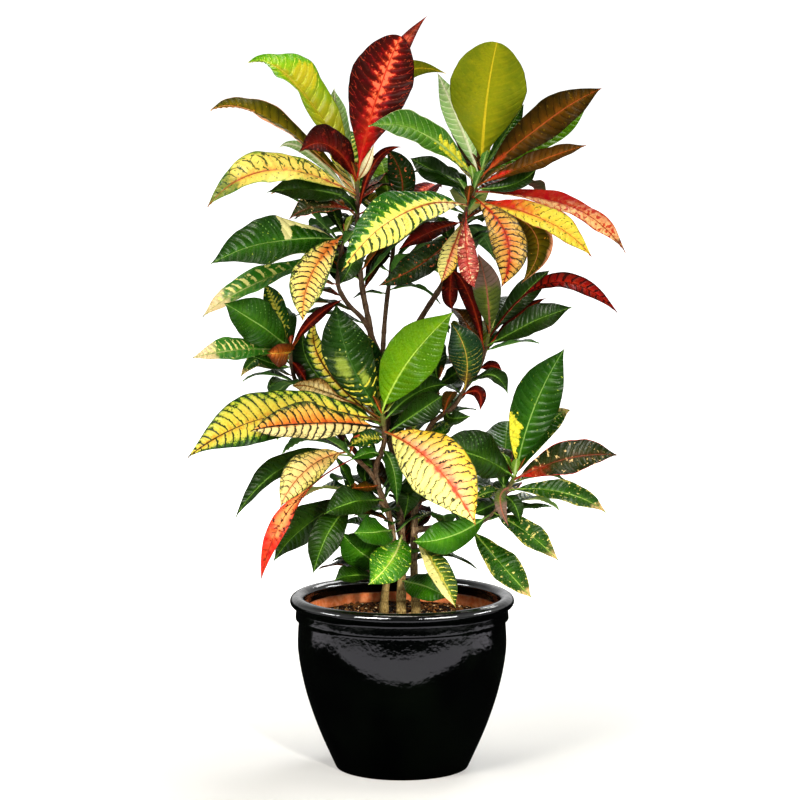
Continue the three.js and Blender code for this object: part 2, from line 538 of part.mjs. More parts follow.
function farLeaves() {
  return FAR_LEAVES.map(([stem, back, heading, lift, length, width, droop]) => {
    const root = placeOnStem(stem, back);
    const [turn, rise] = [THREE.MathUtils.degToRad(heading), THREE.MathUtils.degToRad(lift)];
    const way = new THREE.Vector3(
      Math.cos(turn) * Math.cos(rise),
      Math.sin(turn) * Math.cos(rise),
      Math.sin(rise),
    );
    const middle = root.clone().addScaledVector(way, 0.52 * length);
    const tip = root.clone().addScaledVector(way, length);
    middle.z += 0.05 * length - 0.1 * droop;
    tip.z -= droop;
    return {
      plant: STEMS[stem].plant,
      midrib: midribThrough(root, middle, tip),
      faces: new THREE.Vector3(0, 0, 1),
      width,
      fold: 12,
      outline: OVAL,
    };
  });
}

function plantSolid(plant) {
  const stems = Object.keys(STEMS).filter((name) => STEMS[name].plant === plant).map(stemSolid);
  const leaves = [...nearLeaves(), ...farLeaves()]
    .map((leaf, seed) => (leaf.plant === plant ? leafSolid(leaf, seed) : null))
    .filter((leaf) => leaf !== null);
  return fuse([...stems, ...leaves]);
}

// ---- The whole object ---------------------------------------------------------------------

function pieceOf(name, solid, colour, roughness) {
  const material = new THREE.MeshStandardMaterial({ color: colour, roughness, metalness: 0 });
  const mesh = new THREE.Mesh(geometryFromSolid(solid), material);
  mesh.name = name;
  return mesh;
}

const croton = new THREE.Group();
croton.add(pieceOf("pot", potSolid(), 0x050805, 0.12));
croton.add(pieceOf("soil", soilSolid(), 0x1d140e, 0.95));
croton.add(pieceOf("plant_left", plantSolid("left"), 0x3f6b22, 0.4));
croton.add(pieceOf("plant_middle", plantSolid("middle"), 0x6a5a26, 0.4));
croton.add(pieceOf("plant_right", plantSolid("right"), 0x5b6a24, 0.4));

export default croton;
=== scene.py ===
# The looks of a potted croton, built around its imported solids. Metres, +Z up, the front faces -Y.
import functools
import math

import bpy
import numpy as np
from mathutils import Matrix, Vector
from mathutils.kdtree import KDTree


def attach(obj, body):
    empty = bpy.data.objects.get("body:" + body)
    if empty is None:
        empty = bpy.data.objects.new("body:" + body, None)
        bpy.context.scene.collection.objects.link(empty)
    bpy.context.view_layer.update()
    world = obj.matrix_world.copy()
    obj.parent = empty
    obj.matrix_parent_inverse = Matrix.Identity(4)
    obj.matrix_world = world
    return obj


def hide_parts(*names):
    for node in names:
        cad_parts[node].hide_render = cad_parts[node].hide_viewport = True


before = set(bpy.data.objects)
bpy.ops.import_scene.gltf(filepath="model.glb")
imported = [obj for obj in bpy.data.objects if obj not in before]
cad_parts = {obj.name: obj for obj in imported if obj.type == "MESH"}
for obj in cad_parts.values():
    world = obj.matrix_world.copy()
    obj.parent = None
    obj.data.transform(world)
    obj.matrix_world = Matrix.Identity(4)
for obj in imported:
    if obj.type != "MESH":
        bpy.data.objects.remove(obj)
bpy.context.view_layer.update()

# ---- Driving dimensions, in millimetres, as in the part's own source ------------------------

RIM_DIAMETER = 270
RIM_HEIGHT = 210
ROLL_WIDTH = 17.4
ROLL_HEIGHT = 15
COLLAR_HEIGHT = 14
BODY_DIAMETER = 251
BASE_DIAMETER = 160
WALL = 9
FLOOR = 12
DRAIN_HOLE_DIAMETER = 12
DRAIN_HOLE_COUNT = 3
DRAIN_HOLE_CIRCLE = 42

SOIL_LEVEL = 181
SOIL_MOUND = 5
GAP = 0.3
TRUNK_DEPTH = 70

STALK_SHARE = 0.08
SHORTEST_STALK = 5
LONGEST_STALK = 15
EDGE_WAVE = 0.055

# A viewer stands VIEW_DISTANCE in front of the pot's axis, VIEW_HEIGHT above its foot, and looks
# down by VIEW_TILT degrees. A place is [across, down, behind]: points of a square picture
# VIEW_POINTS wide, and millimetres behind the pot's axis.
VIEW_DISTANCE = 3457
VIEW_HEIGHT = 844
VIEW_SIDEWAYS = -2.4
VIEW_TILT = 6.58
VIEW_POINTS = 800
VIEW_FOCUS = 2911
SENSOR_WIDTH = 36

MM = 0.001

# Outline of a blade: where it is widest, and how full it is near its base and near its tip.
OVAL = (1.08, 0.72, 1.38)
ROUND = (1.38, 0.8, 0.55)
SLIM = (1.0, 0.9, 1.4)
LATE = (1.55, 2.1, 1.2)

# Each stem: the plant it belongs to, its radius at both ends, how much of its tip is a green
# shoot, and the places it passes from its foot to its tip.
STEMS = {
    "mid_trunk": ("middle", (5.2, 4), 30, [
        (401, 616, 0), (402, 560, 8), (401, 520, 14), (396, 470, 18), (388, 425, 20), (382, 365, 12)]),
    "top_left": ("middle", (3.9, 2.4), 40, [
        (382, 365, 12), (374, 348, 9), (368, 318, 4), (362, 287, 0), (358, 240, -3), (357, 178, 0)]),
    "left": ("middle", (3.2, 2.2), 30, [
        (380, 356, 11), (364, 321, 0), (347, 303, -8), (338, 285, -14), (340, 258, -14),
        (345, 234, -12)]),
    "back_centre": ("middle", (3, 2.2), 40, [
        (382, 365, 12), (384, 330, 22), (387, 299, 32), (392, 262, 42), (396, 222, 46)]),
    "mid_left": ("middle", (3.4, 2.2), 30, [
        (388, 425, 20), (350, 412, 32), (318, 396, 28), (298, 384, 16), (292, 368, 4), (290, 348, -6)]),
    "right_trunk": ("right", (5, 2.6), 90, [
        (416, 616, 2), (414, 570, 0), (414, 530, -2), (415, 480, 20), (409, 430, 38), (402, 380, 40),
        (415, 330, 28), (447, 275, 12), (460, 232, 4), (470, 200, 0), (482, 170, 0)]),
    "right": ("right", (3.8, 2.4), 50, [
        (414, 530, -2), (436, 528, 14), (466, 528, 6), (484, 520, -4), (500, 502, -12),
        (516, 474, -18)]),
    "mid_right": ("right", (3.2, 2.2), 60, [
        (414, 470, 26), (431, 425, 10), (454, 406, 2), (466, 387, 0), (480, 366, -3), (490, 332, -4)]),
    "inner": ("right", (2.6, 2), 30, [
        (425, 440, 16), (436, 408, 16), (438, 380, 20)]),
    "left_trunk": ("left", (4.8, 3), 60, [
        (384, 616, -2), (387, 580, -2), (393, 540, -6), (389, 515, -8), (379, 488, -10),
        (376, 468, -12), (384, 442, -16), (382, 412, -20)]),
    "lower_left": ("left", (3, 2.2), 30, [
        (379, 488, -10), (368, 470, -16), (347, 452, -22)]),
    "low_left": ("left", (3, 2.2), 30, [
        (389, 515, -8), (380, 502, -14), (366, 498, -20), (352, 502, -26)]),
}

# Leaves seen from the front: stem, millimetres back from the stem's tip, place of the middle of
# the midrib, place of the tip, blade width, direction the upper side faces, fold of the two
# halves in degrees, colouring, and the outline where it isn't an oval.
LEAVES = [
    ("top_left", 9, (300, 88, 16), (248, 62, 14), 60, (0, -0.5, 0.87), 28, "lime_net"),
    ("top_left", 18, (270, 119, -24), (210, 110, -40), 38, (0, -0.5, 0.87), 20, "olive_brown"),
    ("top_left", 30, (308, 152, 30), (279, 148, 46), 13, (0, -1, 0.3), 12, "pale", SLIM),
    ("top_left", 6, (331, 146, -22), (299, 152, -40), 46, (0, -0.8, 0.6), 20, "maroon"),
    ("top_left", 21, (272, 170, -44), (207, 207, -62), 52, (-0.1, -0.7, 0.7), 14, "yellow_arcs"),
    ("top_left", 27, (314, 190, -22), (267, 192, -36), 42, (0, -0.8, 0.6), 18, "dark"),
    ("top_left", 0, (376, 100, -10), (401, 36, -10), 76, (-0.1, -1, 0.2), 12, "maroon_splash", ROUND),
    ("top_left", 15, (383, 85, 12), (428, 15, 22), 24, (0, -1, 0.1), 10, "red_tip"),
    ("top_left", 24, (386, 88, 38), (447, 74, 52), 30, (0, 1, 0.2), 10, "olive"),
    ("top_left", 22, (340, 130, 36), (334, 88, 46), 28, (-0.3, -1, 0.1), 12, "pale"),
    ("top_left", 3, (366, 166, -28), (374, 144, -32), 12, (0, -1, 0.2), 14, "cream", SLIM),
    ("top_left", 40, (318, 207, -38), (289, 219, -48), 32, (0, -0.6, 0.8), 16, "dark_red"),
    ("top_left", 44, (350, 203, -16), (339, 196, -22), 14, (0, -0.8, 0.5), 14, "dark"),
    ("left", 4, (334, 212, -2), (323, 195, -6), 18, (0, -1, 0.2), 14, "dark"),
    ("left", 8, (276, 241, -44), (210, 264, -64), 62, (0, -0.8, 0.6), 12, "pale_patch"),
    ("left", 0, (312, 273, -56), (303, 322, -60), 44, (-0.1, -1, 0.25), 12, "orange_net"),
    ("left", 24, (258, 282, -22), (202, 317, -34), 36, (0, -0.65, 0.75), 18, "cream_bars"),
    ("mid_left", 8, (278, 312, 2), (264, 283, 12), 28, (-0.3, -1, 0.2), 14, "dark_net"),
    ("mid_left", 0, (258, 324, -36), (224, 303, -48), 56, (-0.3, -0.8, 0.5), 14, "green"),
    ("mid_left", 9, (262, 342, -16), (234, 322, -26), 26, (-0.3, -0.6, -0.6), 10, "maroon"),
    ("mid_left", 3, (238, 350, -58), (192, 358, -80), 34, (-0.1, -0.8, 0.6), 14, "cream_bars"),
    ("mid_left", 13, (262, 356, -12), (240, 378, -14), 18, (0, -1, 0.2), 14, "green_cream"),
    ("mid_left", 26, (274, 364, -16), (253, 356, -24), 14, (0, -0.8, 0.5), 10, "green"),
    ("mid_left", 5, (283, 353, -26), (264, 353, -38), 34, (0.2, -1, -0.3), 20, "orange_brown"),
    ("mid_left", 18, (298, 368, -2), (307, 383, -6), 13, (0, -1, 0), 10, "maroon", SLIM),
    ("mid_left", 1, (314, 319, -18), (344, 299, -22), 14, (0, -1, 0.3), 20, "maroon", SLIM),
    ("left_trunk", 6, (350, 360, -34), (336, 303, -26), 60, (0.05, -1, 0.25), 12, "mottled"),
    ("left_trunk", 20, (372, 372, -6), (354, 322, 6), 34, (0.3, -1, 0.2), 10, "dark_net"),
    ("left_trunk", 14, (324, 366, -4), (316, 318, 6), 26, (-0.5, -1, 0.2), 10, "yellow_net"),
    ("left_trunk", 18, (318, 376, 6), (304, 332, 14), 42, (-0.2, -1, 0.2), 10, "dark"),
    ("left_trunk", 0, (408, 362, -40), (454, 311, -38), 64, (-0.1, -1, 0.2), 10, "lime"),
    ("left_trunk", 12, (276, 416, -66), (187, 458, -98), 66, (-0.05, -0.85, 0.5), 10, "yellow_net"),
    ("left_trunk", 20, (314, 423, -74), (250, 431, -96), 52, (-0.05, -0.8, 0.6), 10, "orange_bars"),
    ("left_trunk", 9, (328, 392, -20), (292, 386, -26), 26, (0, -1, -0.2), 16, "cream_brown", LATE),
    ("lower_left", 8, (286, 466, -48), (235, 518, -60), 34, (0, -0.6, 0.8), 22, "dark"),
    ("lower_left", 0, (307, 469, -66), (280, 508, -80), 42, (-0.1, -0.9, 0.4), 12, "sparse_net"),
    ("lower_left", 12, (292, 506, -54), (261, 580, -66), 24, (-0.3, -0.9, 0.2), 14, "red_orange", LATE),
    ("low_left", 3, (310, 522, -32), (273, 562, -42), 46, (-0.3, -0.8, 0.5), 14, "dark"),
    ("low_left", 0, (329, 532, -62), (313, 574, -72), 40, (-0.2, -1, 0.2), 12, "dark"),
    ("left_trunk", 112, (354, 502, -56), (324, 514, -70), 44, (0, -0.8, 0.6), 14, "dark"),
    ("left_trunk", 92, (368, 487, -36), (352, 488, -46), 15, (0, -0.8, 0.6), 14, "brown"),
    ("left_trunk", 150, (376, 532, -50), (353, 533, -64), 44, (0, -0.85, 0.5), 12, "green"),
    ("left_trunk", 196, (362, 553, -28), (341, 532, -38), 42, (-0.3, -1, 0.2), 10, "green"),
    ("mid_trunk", 208, (391, 561, -66), (368, 585, -88), 50, (0, -0.9, 0.45), 12, "light_veins"),
    ("left_trunk", 214, (357, 575, -52), (334, 581, -66), 32, (0, -0.6, 0.8), 12, "dark"),
    ("mid_trunk", 264, (424, 586, -48), (449, 598, -66), 42, (0, -0.85, 0.5), 10, "green"),
    ("right_trunk", 468, (438, 571, -66), (456, 608, -84), 32, (0.3, -0.9, 0.2), 22, "half_cream"),
    ("left_trunk", 24, (434, 465, -96), (476, 526, -130), 77, (0.05, -0.95, 0.3), 9, "cream_net"),
    ("right", 5, (478, 456, -54), (436, 448, -58), 60, (-0.1, -0.85, 0.5), 12, "dark"),
    ("right", 0, (534, 408, -34), (565, 348, -36), 57, (-0.1, -1, 0.15), 12, "green_patch"),
    ("right", 14, (543, 430, -4), (571, 410, 4), 27, (0, -1, 0.3), 12, "green_cream"),
    ("right", 9, (566, 459, -42), (618, 455, -56), 44, (0.1, -0.85, 0.5), 14, "dark_red"),
    ("right", 23, (562, 492, -52), (607, 513, -66), 32, (0.1, -0.75, 0.65), 12, "green_cream"),
    ("right", 56, (526, 532, -48), (559, 561, -62), 32, (0.1, -0.8, 0.6), 12, "green_cream"),
    ("right", 19, (500, 500, -62), (509, 527, -72), 16, (0.2, -1, 0.2), 14, "brown_green", SLIM),
    ("right", 27, (490, 492, -38), (474, 499, -46), 16, (0, -0.8, 0.5), 14, "green_cream"),
    ("right", 38, (486, 508, -28), (473, 513, -34), 18, (0, -1, 0.3), 14, "dark"),
    ("right", 31, (514, 504, -34), (520, 522, -42), 20, (0.2, -1, 0.2), 14, "dark"),
    ("right", 92, (502, 565, -60), (532, 598, -76), 38, (0.15, -0.85, 0.5), 12, "green_cream"),
    ("right", 60, (449, 537, -50), (413, 541, -58), 42, (0, -0.85, 0.5), 10, "green"),
    ("right_trunk", 15, (424, 134, -34), (368, 126, -44), 46, (0, -0.75, 0.65), 12, "light_patch"),
    ("right_trunk", 8, (459, 122, 26), (437, 72, 38), 30, (0, -1, 0.1), 12, "pale"),
    ("right_trunk", 0, (486, 105, 8), (497, 42, 2), 92, (0, 1, -0.1), 8, "olive", ROUND),
    ("back_centre", 2, (402, 180, 36), (385, 148, 26), 34, (0, -1, 0.2), 12, "dark_orange"),
    ("top_left", 48, (374, 164, 6), (402, 147, 4), 12, (0, -1, 0.2), 12, "maroon", SLIM),
    ("right_trunk", 27, (436, 172, 24), (410, 158, 26), 30, (0, -1, 0.3), 12, "dark"),
    ("right_trunk", 3, (508, 130, 30), (524, 104, 32), 18, (0, -1, 0.2), 12, "green"),
    ("right_trunk", 12, (544, 123, -18), (602, 88, -22), 46, (0.1, -1, 0.4), 14, "brown"),
    ("right_trunk", 6, (546, 137, 18), (587, 106, 28), 28, (0, -1, 0.3), 12, "lime"),
    ("right_trunk", 20, (536, 162, -28), (586, 145, -38), 30, (0.1, -0.7, 0.7), 14, "brown_red"),
    ("right_trunk", 24, (514, 184, -14), (537, 167, -20), 22, (0, -0.8, 0.5), 12, "dark"),
    ("right_trunk", 41, (541, 218, -54), (592, 257, -68), 38, (0.1, -0.75, 0.65), 12, "red_yellow"),
    ("right_trunk", 28, (568, 206, -28), (626, 253, -40), 30, (0.1, -0.7, 0.7), 12, "red_cream"),
    ("right_trunk", 33, (507, 238, -70), (501, 288, -78), 44, (0.1, -1, 0.2), 10, "rust_net"),
    ("right_trunk", 37, (534, 232, -22), (521, 284, -28), 36, (0.2, -1, 0.2), 12, "olive_brown"),
    ("mid_right", 11, (549, 283, -30), (618, 313, -44), 28, (0, -0.7, 0.7), 14, "deep_red", LATE),
    ("mid_right", 5, (522, 296, -2), (550, 270, 6), 28, (0, -1, 0.3), 12, "dark"),
    ("mid_right", 22, (518, 316, -4), (546, 298, -6), 14, (0, -0.8, 0.5), 14, "maroon", SLIM),
    ("mid_right", 18, (531, 323, -38), (572, 307, -50), 38, (0.1, -0.8, 0.6), 14, "dark"),
    ("mid_right", 2, (487, 292, -48), (478, 253, -60), 34, (0.1, -1, 0.1), 12, "brown_green"),
    ("right_trunk", 60, (451, 254, -50), (441, 283, -54), 26, (-0.3, -1, 0.1), 14, "cream_net"),
    ("right_trunk", 52, (467, 258, -64), (475, 288, -72), 26, (0.2, -1, 0.1), 14, "pink_cream"),
    ("mid_right", 26, (470, 298, -16), (452, 270, -24), 20, (-0.2, -1, 0.2), 14, "maroon"),
    ("right_trunk", 90, (450, 288, -8), (453, 309, -12), 20, (0, -1, 0.1), 14, "maroon"),
    ("right_trunk", 46, (403, 213, -74), (341, 272, -96), 64, (-0.1, -0.8, 0.6), 10, "splash"),
    ("right_trunk", 66, (432, 231, -36), (398, 250, -42), 24, (-0.1, -0.8, 0.5), 12, "maroon"),
    ("right_trunk", 74, (424, 262, -26), (378, 286, -34), 36, (-0.1, -0.9, 0.4), 12, "dark_orange"),
    ("top_left", 70, (352, 262, -24), (340, 284, -30), 30, (-0.2, -1, 0.4), 12, "dark"),
    ("mid_right", 78, (466, 354, -26), (450, 322, -30), 44, (0, -1, 0.2), 16, "veined"),
    ("mid_right", 70, (492, 375, -30), (508, 394, -36), 24, (0, -0.6, 0.8), 14, "dark"),
    ("mid_right", 86, (478, 392, -20), (480, 411, -24), 16, (0, -1, 0.2), 14, "maroon"),
    ("mid_right", 48, (490, 366, -12), (502, 370, -18), 14, (0, -1, 0.4), 14, "maroon"),
    ("inner", 2, (436, 360, 12), (441, 337, 12), 26, (0, -1, 0.2), 14, "dark"),
    ("inner", 4, (452, 376, 2), (467, 364, -6), 22, (0, -0.8, 0.5), 14, "dark"),
    ("left_trunk", 12, (416, 393, -16), (448, 385, -20), 36, (0.1, -1, 0.4), 14, "dark"),
    ("left_trunk", 28, (424, 408, -34), (442, 396, -44), 34, (0.1, -1, 0.2), 14, "dark"),
    ("mid_right", 112, (452, 418, -16), (471, 416, -22), 20, (0, -0.9, 0.5), 14, "dark"),
    ("left_trunk", 34, (368, 438, -38), (348, 447, -48), 28, (0, -0.8, 0.6), 14, "dark_net"),
    ("left_trunk", 54, (370, 453, -30), (350, 460, -38), 18, (0, -0.8, 0.6), 14, "green"),
    ("left_trunk", 74, (366, 466, -2), (366, 486, 2), 22, (0, -1, 0.2), 14, "dark"),
    ("left_trunk", 46, (393, 468, -34), (397, 505, -38), 20, (0.1, -1, 0.2), 14, "green"),
    ("mid_trunk", 170, (408, 494, -16), (404, 519, -20), 32, (0.1, -1, 0.2), 14, "dark"),
]

# Leaves on the far side, by their stem: millimetres back from the stem's tip, heading (degrees, 0
# is right, 90 is away from the viewer), lift in degrees, length, blade width, droop, colouring.
# FAR_MIDDLE to FAR_SAG place the middle of such a midrib: its share of the length, and how much
# it rises by the length and sinks by the droop.
FAR_LEAVES = [
    ("top_left", [
        (42, 104, 54, 150, 56, 22, "splash"), (26, 80, 14, 140, 46, 30, "dark_red"),
        (46, 142, 22, 145, 46, 30, "orange_net"), (58, 112, -2, 150, 50, 18, "dark")]),
    ("left", [
        (14, 140, 8, 140, 46, 34, "dark"), (36, 150, 8, 110, 36, 26, "green_cream")]),
    ("back_centre", [
        (8, 112, 60, 118, 50, 14, "lime"), (14, 60, 34, 140, 46, 26, "maroon_splash"),
        (16, 128, 34, 135, 46, 26, "yellow_net"), (26, 84, 18, 160, 54, 34, "orange_net"),
        (40, 118, 0, 145, 46, 34, "dark")]),
    ("mid_left", [
        (10, 112, 24, 135, 46, 26, "dark"), (16, 150, 12, 120, 40, 28, "olive"),
        (34, 84, 10, 140, 46, 32, "splash"), (70, 112, 0, 135, 44, 28, "dark")]),
    ("right_trunk", [
        (18, 92, 38, 150, 54, 20, "brown"), (22, 104, 24, 150, 48, 30, "splash"),
        (30, 48, 8, 145, 46, 32, "dark_red"), (44, 88, 4, 150, 50, 36, "yellow_net"),
        (74, 70, -8, 130, 42, 28, "dark"), (250, 60, 24, 120, 42, 26, "dark"),
        (285, 108, 18, 150, 50, 34, "splash"), (330, 68, 10, 145, 48, 34, "dark")]),
    ("right", [
        (34, 84, 48, 140, 50, 22, "green"), (46, 118, 14, 145, 48, 30, "dark"),
        (64, 40, 12, 120, 40, 28, "green_cream"), (70, 84, 8, 140, 44, 32, "dark")]),
    ("mid_right", [
        (16, 66, 36, 120, 40, 22, "dark"), (24, 104, 18, 125, 42, 26, "olive")]),
    ("inner", [
        (6, 100, 34, 110, 40, 20, "green")]),
    ("left_trunk", [
        (26, 118, 30, 140, 50, 24, "splash"), (30, 168, 10, 135, 44, 30, "dark")]),
    ("mid_trunk", [
        (66, 96, 16, 165, 54, 36, "orange_net"), (100, 108, 6, 135, 46, 36, "dark"),
        (128, 78, 6, 160, 50, 38, "yellow_net"), (196, 112, 6, 140, 48, 34, "green")]),
    ("lower_left", [
        (10, 134, 10, 130, 42, 30, "dark")]),
    ("low_left", [
        (10, 132, 4, 125, 42, 32, "splash")]),
]
FAR_MIDDLE = 0.52
FAR_ARCH = 0.05
FAR_SAG = 0.1
FAR_FOLD = 12

# More small leaves, behind the crowns' thin places, in rows like those of FAR_LEAVES.
FILLING = [
    ("right_trunk", [
        (30, 150, 25, 90, 36, 14, "dark"), (34, 60, 40, 85, 34, 10, "dark"),
        (44, 120, 35, 95, 36, 14, "green"), (26, 20, 34, 70, 30, 10, "olive_brown"),
        (56, 160, 12, 90, 34, 14, "dark"), (64, 24, 20, 90, 34, 14, "dark_red"),
        (22, 250, 62, 34, 10, 3, "lime"), (30, 300, 56, 40, 12, 4, "green"),
        (38, 215, 58, 36, 11, 4, "light_veins"), (47, 275, 50, 42, 12, 5, "brown"),
        (56, 325, 48, 40, 12, 5, "dark")]),
    ("top_left", [
        (30, 60, 20, 90, 34, 14, "dark_red"), (44, 30, 10, 90, 34, 14, "maroon"),
        (52, 150, 10, 90, 34, 14, "dark"), (64, 60, 0, 100, 36, 18, "dark")]),
    ("back_centre", [
        (30, 30, 30, 90, 34, 14, "dark"), (44, 150, 20, 95, 36, 14, "dark_orange"),
        (58, 40, 0, 90, 34, 14, "green"), (88, 188, 6, 42, 15, 8, "dark"),
        (84, 12, 8, 66, 24, 26, "dark")]),
    ("right_trunk", [
        (150, 8, 10, 46, 15, 14, "maroon")]),
]

# Small leaves inside the crown, and how many each stem carries. They grow on the outer
# INNER_REACH of a stem, at least FIRST_NODE from its tip, and keep INNER_ROOM from other leaves.
# A range is a lowest value and how much more a draw can add. CROWN is the part of the picture
# they keep to, and WINDOW the part where they leave the stems bare.
INNER_LEAVES = {
    "mid_trunk": 22, "top_left": 22, "left": 13, "back_centre": 20, "mid_left": 9, "right_trunk": 22,
    "right": 12, "mid_right": 8, "inner": 10, "left_trunk": 12, "lower_left": 8, "low_left": 7,
}
INNER_REACH = 0.72
FIRST_NODE = 4
INNER_ROOM = 4.5
TRIES_A_LEAF = 80
GOLDEN_ANGLE = 137.5
TURN_SPREAD = 20
INNER_LENGTH = (48, 45)
LONGER_BEHIND = 35
INNER_LIFT = (8, 52)
INNER_WIDTH = (0.34, 0.12)
INNER_DROOP = 0.24
ABOVE_RIM = 12
DEEPEST = 188
NEAREST = -125
COVER_REACH = 4
COVER_SHARE = 0.12
INNER_COLOURINGS = (
    ["dark"] * 8 + ["green"] * 3 + ["dark_red"] * 2 + ["maroon"] * 2 + ["brown"] * 2
    + ["dark_orange", "dark_net", "light_veins"]
)
CROWN = [
    (300, 75), (345, 60), (380, 40), (420, 55), (470, 60), (520, 75), (560, 110), (562, 180),
    (590, 215), (585, 290), (560, 325), (520, 365), (500, 400), (512, 425), (560, 445), (572, 475),
    (548, 520), (512, 565), (470, 588), (420, 598), (370, 598), (325, 575), (298, 535), (270, 485),
    (245, 445), (245, 400), (232, 350), (228, 310), (240, 260), (228, 220), (242, 175), (262, 140),
    (285, 115),
]
WINDOW = [
    (336, 283), (352, 280), (364, 287), (374, 284), (386, 272), (396, 288), (418, 280), (434, 268),
    (444, 270), (440, 300), (434, 314), (412, 320), (398, 338), (384, 350), (372, 344), (364, 320),
    (350, 304),
]

# Young leaves at the tip of every stem: each is further from the tip, longer and flatter than
# the one before.
SHOOT_LEAVES = 5
SHOOT_BACK = (0.4, 0.9)
SHOOT_LIFT = (80, -9)
SHOOT_LENGTH = (12, 6)
SHOOT_WIDTH = 0.3
SHOOT_DROOP = 0.5
SHOOT_COLOURINGS = ["lime", "lime_net", "green", "brown", "red_orange"]

# Bright patches on single leaves, by the leaf's number: along the blade, across it (-1 to 1),
# reach along, reach across. CRUMPLED leaves wave that many times more than the others.
PATCHES = {
    0: [(0.5, 0.45, 0.1, 0.5)],
    14: [(0.16, 0.95, 0.2, 0.25), (0.34, 0.9, 0.08, 0.3), (0.35, 0.5, 0.045, 0.55)],
    26: [(0.42, -0.4, 0.11, 0.3), (0.26, 0.3, 0.06, 0.25)],
    49: [(0.2, -0.9, 0.19, 0.72)],
    60: [(0.1, 0.0, 0.24, 0.8)],
}
CRUMPLED = {33: 4.5, 67: 1.5, 72: 1.6, 0: 1.5}


# ---- Places and curves ----------------------------------------------------------------------

VIEWER = np.array([VIEW_SIDEWAYS, -VIEW_DISTANCE, VIEW_HEIGHT], dtype=float)
LEVEL = math.cos(math.radians(VIEW_TILT))
SLOPE = math.sin(math.radians(VIEW_TILT))


def seen(place):
    """The point in millimetres that shows at a place of the picture."""
    across, down, behind = place
    right = (across - VIEW_POINTS / 2) / VIEW_FOCUS
    up = (VIEW_POINTS / 2 - down) / VIEW_FOCUS
    ray = np.array([right, LEVEL + up * SLOPE, up * LEVEL - SLOPE])
    return VIEWER + ray * (behind + VIEW_DISTANCE) / ray[1]


def place_in_picture(points):
    """Across and down, in picture points, of points in millimetres."""
    away = points - VIEWER
    ahead = away[:, 1] * LEVEL - away[:, 2] * SLOPE
    above = away[:, 1] * SLOPE + away[:, 2] * LEVEL
    middle = VIEW_POINTS / 2
    return np.stack([
        middle + away[:, 0] / ahead * VIEW_FOCUS, middle - above / ahead * VIEW_FOCUS,
    ], axis=-1)


def is_inside(outline, spots):
    """Whether each picture place lies inside a closed outline."""
    inside = np.zeros(len(spots), dtype=bool)
    for (x0, y0), (x1, y1) in zip(outline, outline[1:] + outline[:1]):
        crosses = (y0 > spots[:, 1]) != (y1 > spots[:, 1])
        if y0 != y1:
            inside ^= crosses & (spots[:, 0] < (x1 - x0) * (spots[:, 1] - y0) / (y1 - y0) + x0)
    return inside


def unit(vectors):
    return vectors / np.linalg.norm(vectors, axis=-1, keepdims=True)


def smoothstep(low, high, value):
    share = np.clip((value - low) / (high - low), 0, 1)
    return share * share * (3 - 2 * share)


def draw(seed, which):
    value = math.sin(seed * 127.1 + which * 311.7) * 43758.5453
    return value - math.floor(value)


class StemCurve:
    """A centripetal Catmull-Rom curve through points, read by its length."""

    STEPS = 400

    def __init__(self, points):
        ends = [2 * points[0] - points[1]], [2 * points[-1] - points[-2]]
        self.points = ends[0] + points + ends[1]
        shares = np.linspace(0, 1, self.STEPS + 1)
        self.samples = np.array([self.at(share) for share in shares])
        pieces = np.linalg.norm(np.diff(self.samples, axis=0), axis=1)
        self.reach = np.concatenate([[0], np.cumsum(pieces)])
        self.length = self.reach[-1]

    def at(self, share):
        last = len(self.points) - 3
        spot = share * last
        index = min(int(spot), last - 1)
        weight = spot - index
        p0, p1, p2, p3 = self.points[index:index + 4]
        step0, step1, step2 = (
            max(np.sum((a - b) ** 2) ** 0.25, 1e-4) for a, b in ((p0, p1), (p1, p2), (p2, p3))
        )
        start = ((p1 - p0) / step0 - (p2 - p0) / (step0 + step1) + (p2 - p1) / step1) * step1
        end = ((p2 - p1) / step1 - (p3 - p1) / (step1 + step2) + (p3 - p2) / step2) * step1
        return (
            p1 + start * weight + (-3 * p1 + 3 * p2 - 2 * start - end) * weight ** 2
            + (2 * p1 - 2 * p2 + start + end) * weight ** 3
        )

    def place(self, along):
        along = np.clip(along, 0, self.length)
        axes = [np.interp(along, self.reach, self.samples[:, axis]) for axis in range(3)]
        return np.array(axes).T


def stem_curve(name):
    points = [seen(place) for place in STEMS[name][3]]
    if name.endswith("trunk"):
        foot = points.pop(0)
        below = (-TRUNK_DEPTH, -TRUNK_DEPTH / 2, 3 * SOIL_MOUND)
        points = [np.array([foot[0], foot[1], SOIL_LEVEL + depth]) for depth in below] + points
    return StemCurve(points)


stem_curves = {name: stem_curve(name) for name in STEMS}


# ---- Meshes ---------------------------------------------------------------------------------

def add_piece(name, points, faces, material, attributes=None, smooth=True):
    """A mesh object from points in millimetres. attributes are rows of three numbers a point."""
    mesh = bpy.data.meshes.new(name)
    mesh.from_pydata((np.asarray(points) * MM).tolist(), [], faces)
    for title, rows in (attributes or {}).items():
        layer = mesh.attributes.new(title, "FLOAT_VECTOR", "POINT")
        layer.data.foreach_set("vector", np.asarray(rows, dtype=np.float32).ravel())
    mesh.polygons.foreach_set("use_smooth", [smooth] * len(mesh.polygons))
    mesh.materials.append(material)
    mesh.validate()
    piece = bpy.data.objects.new(name, mesh)
    bpy.context.collection.objects.link(piece)
    return piece


def ring_faces(rows, around):
    """Quads between closed rings of points, one ring a row, facing outwards for a ring that runs
    clockwise when it is seen along the rows."""
    faces = []
    for row in range(rows - 1):
        for i in range(around):
            j = (i + 1) % around
            low, high = row * around, (row + 1) * around
            faces.append((low + i, low + j, high + j, high + i))
    return faces


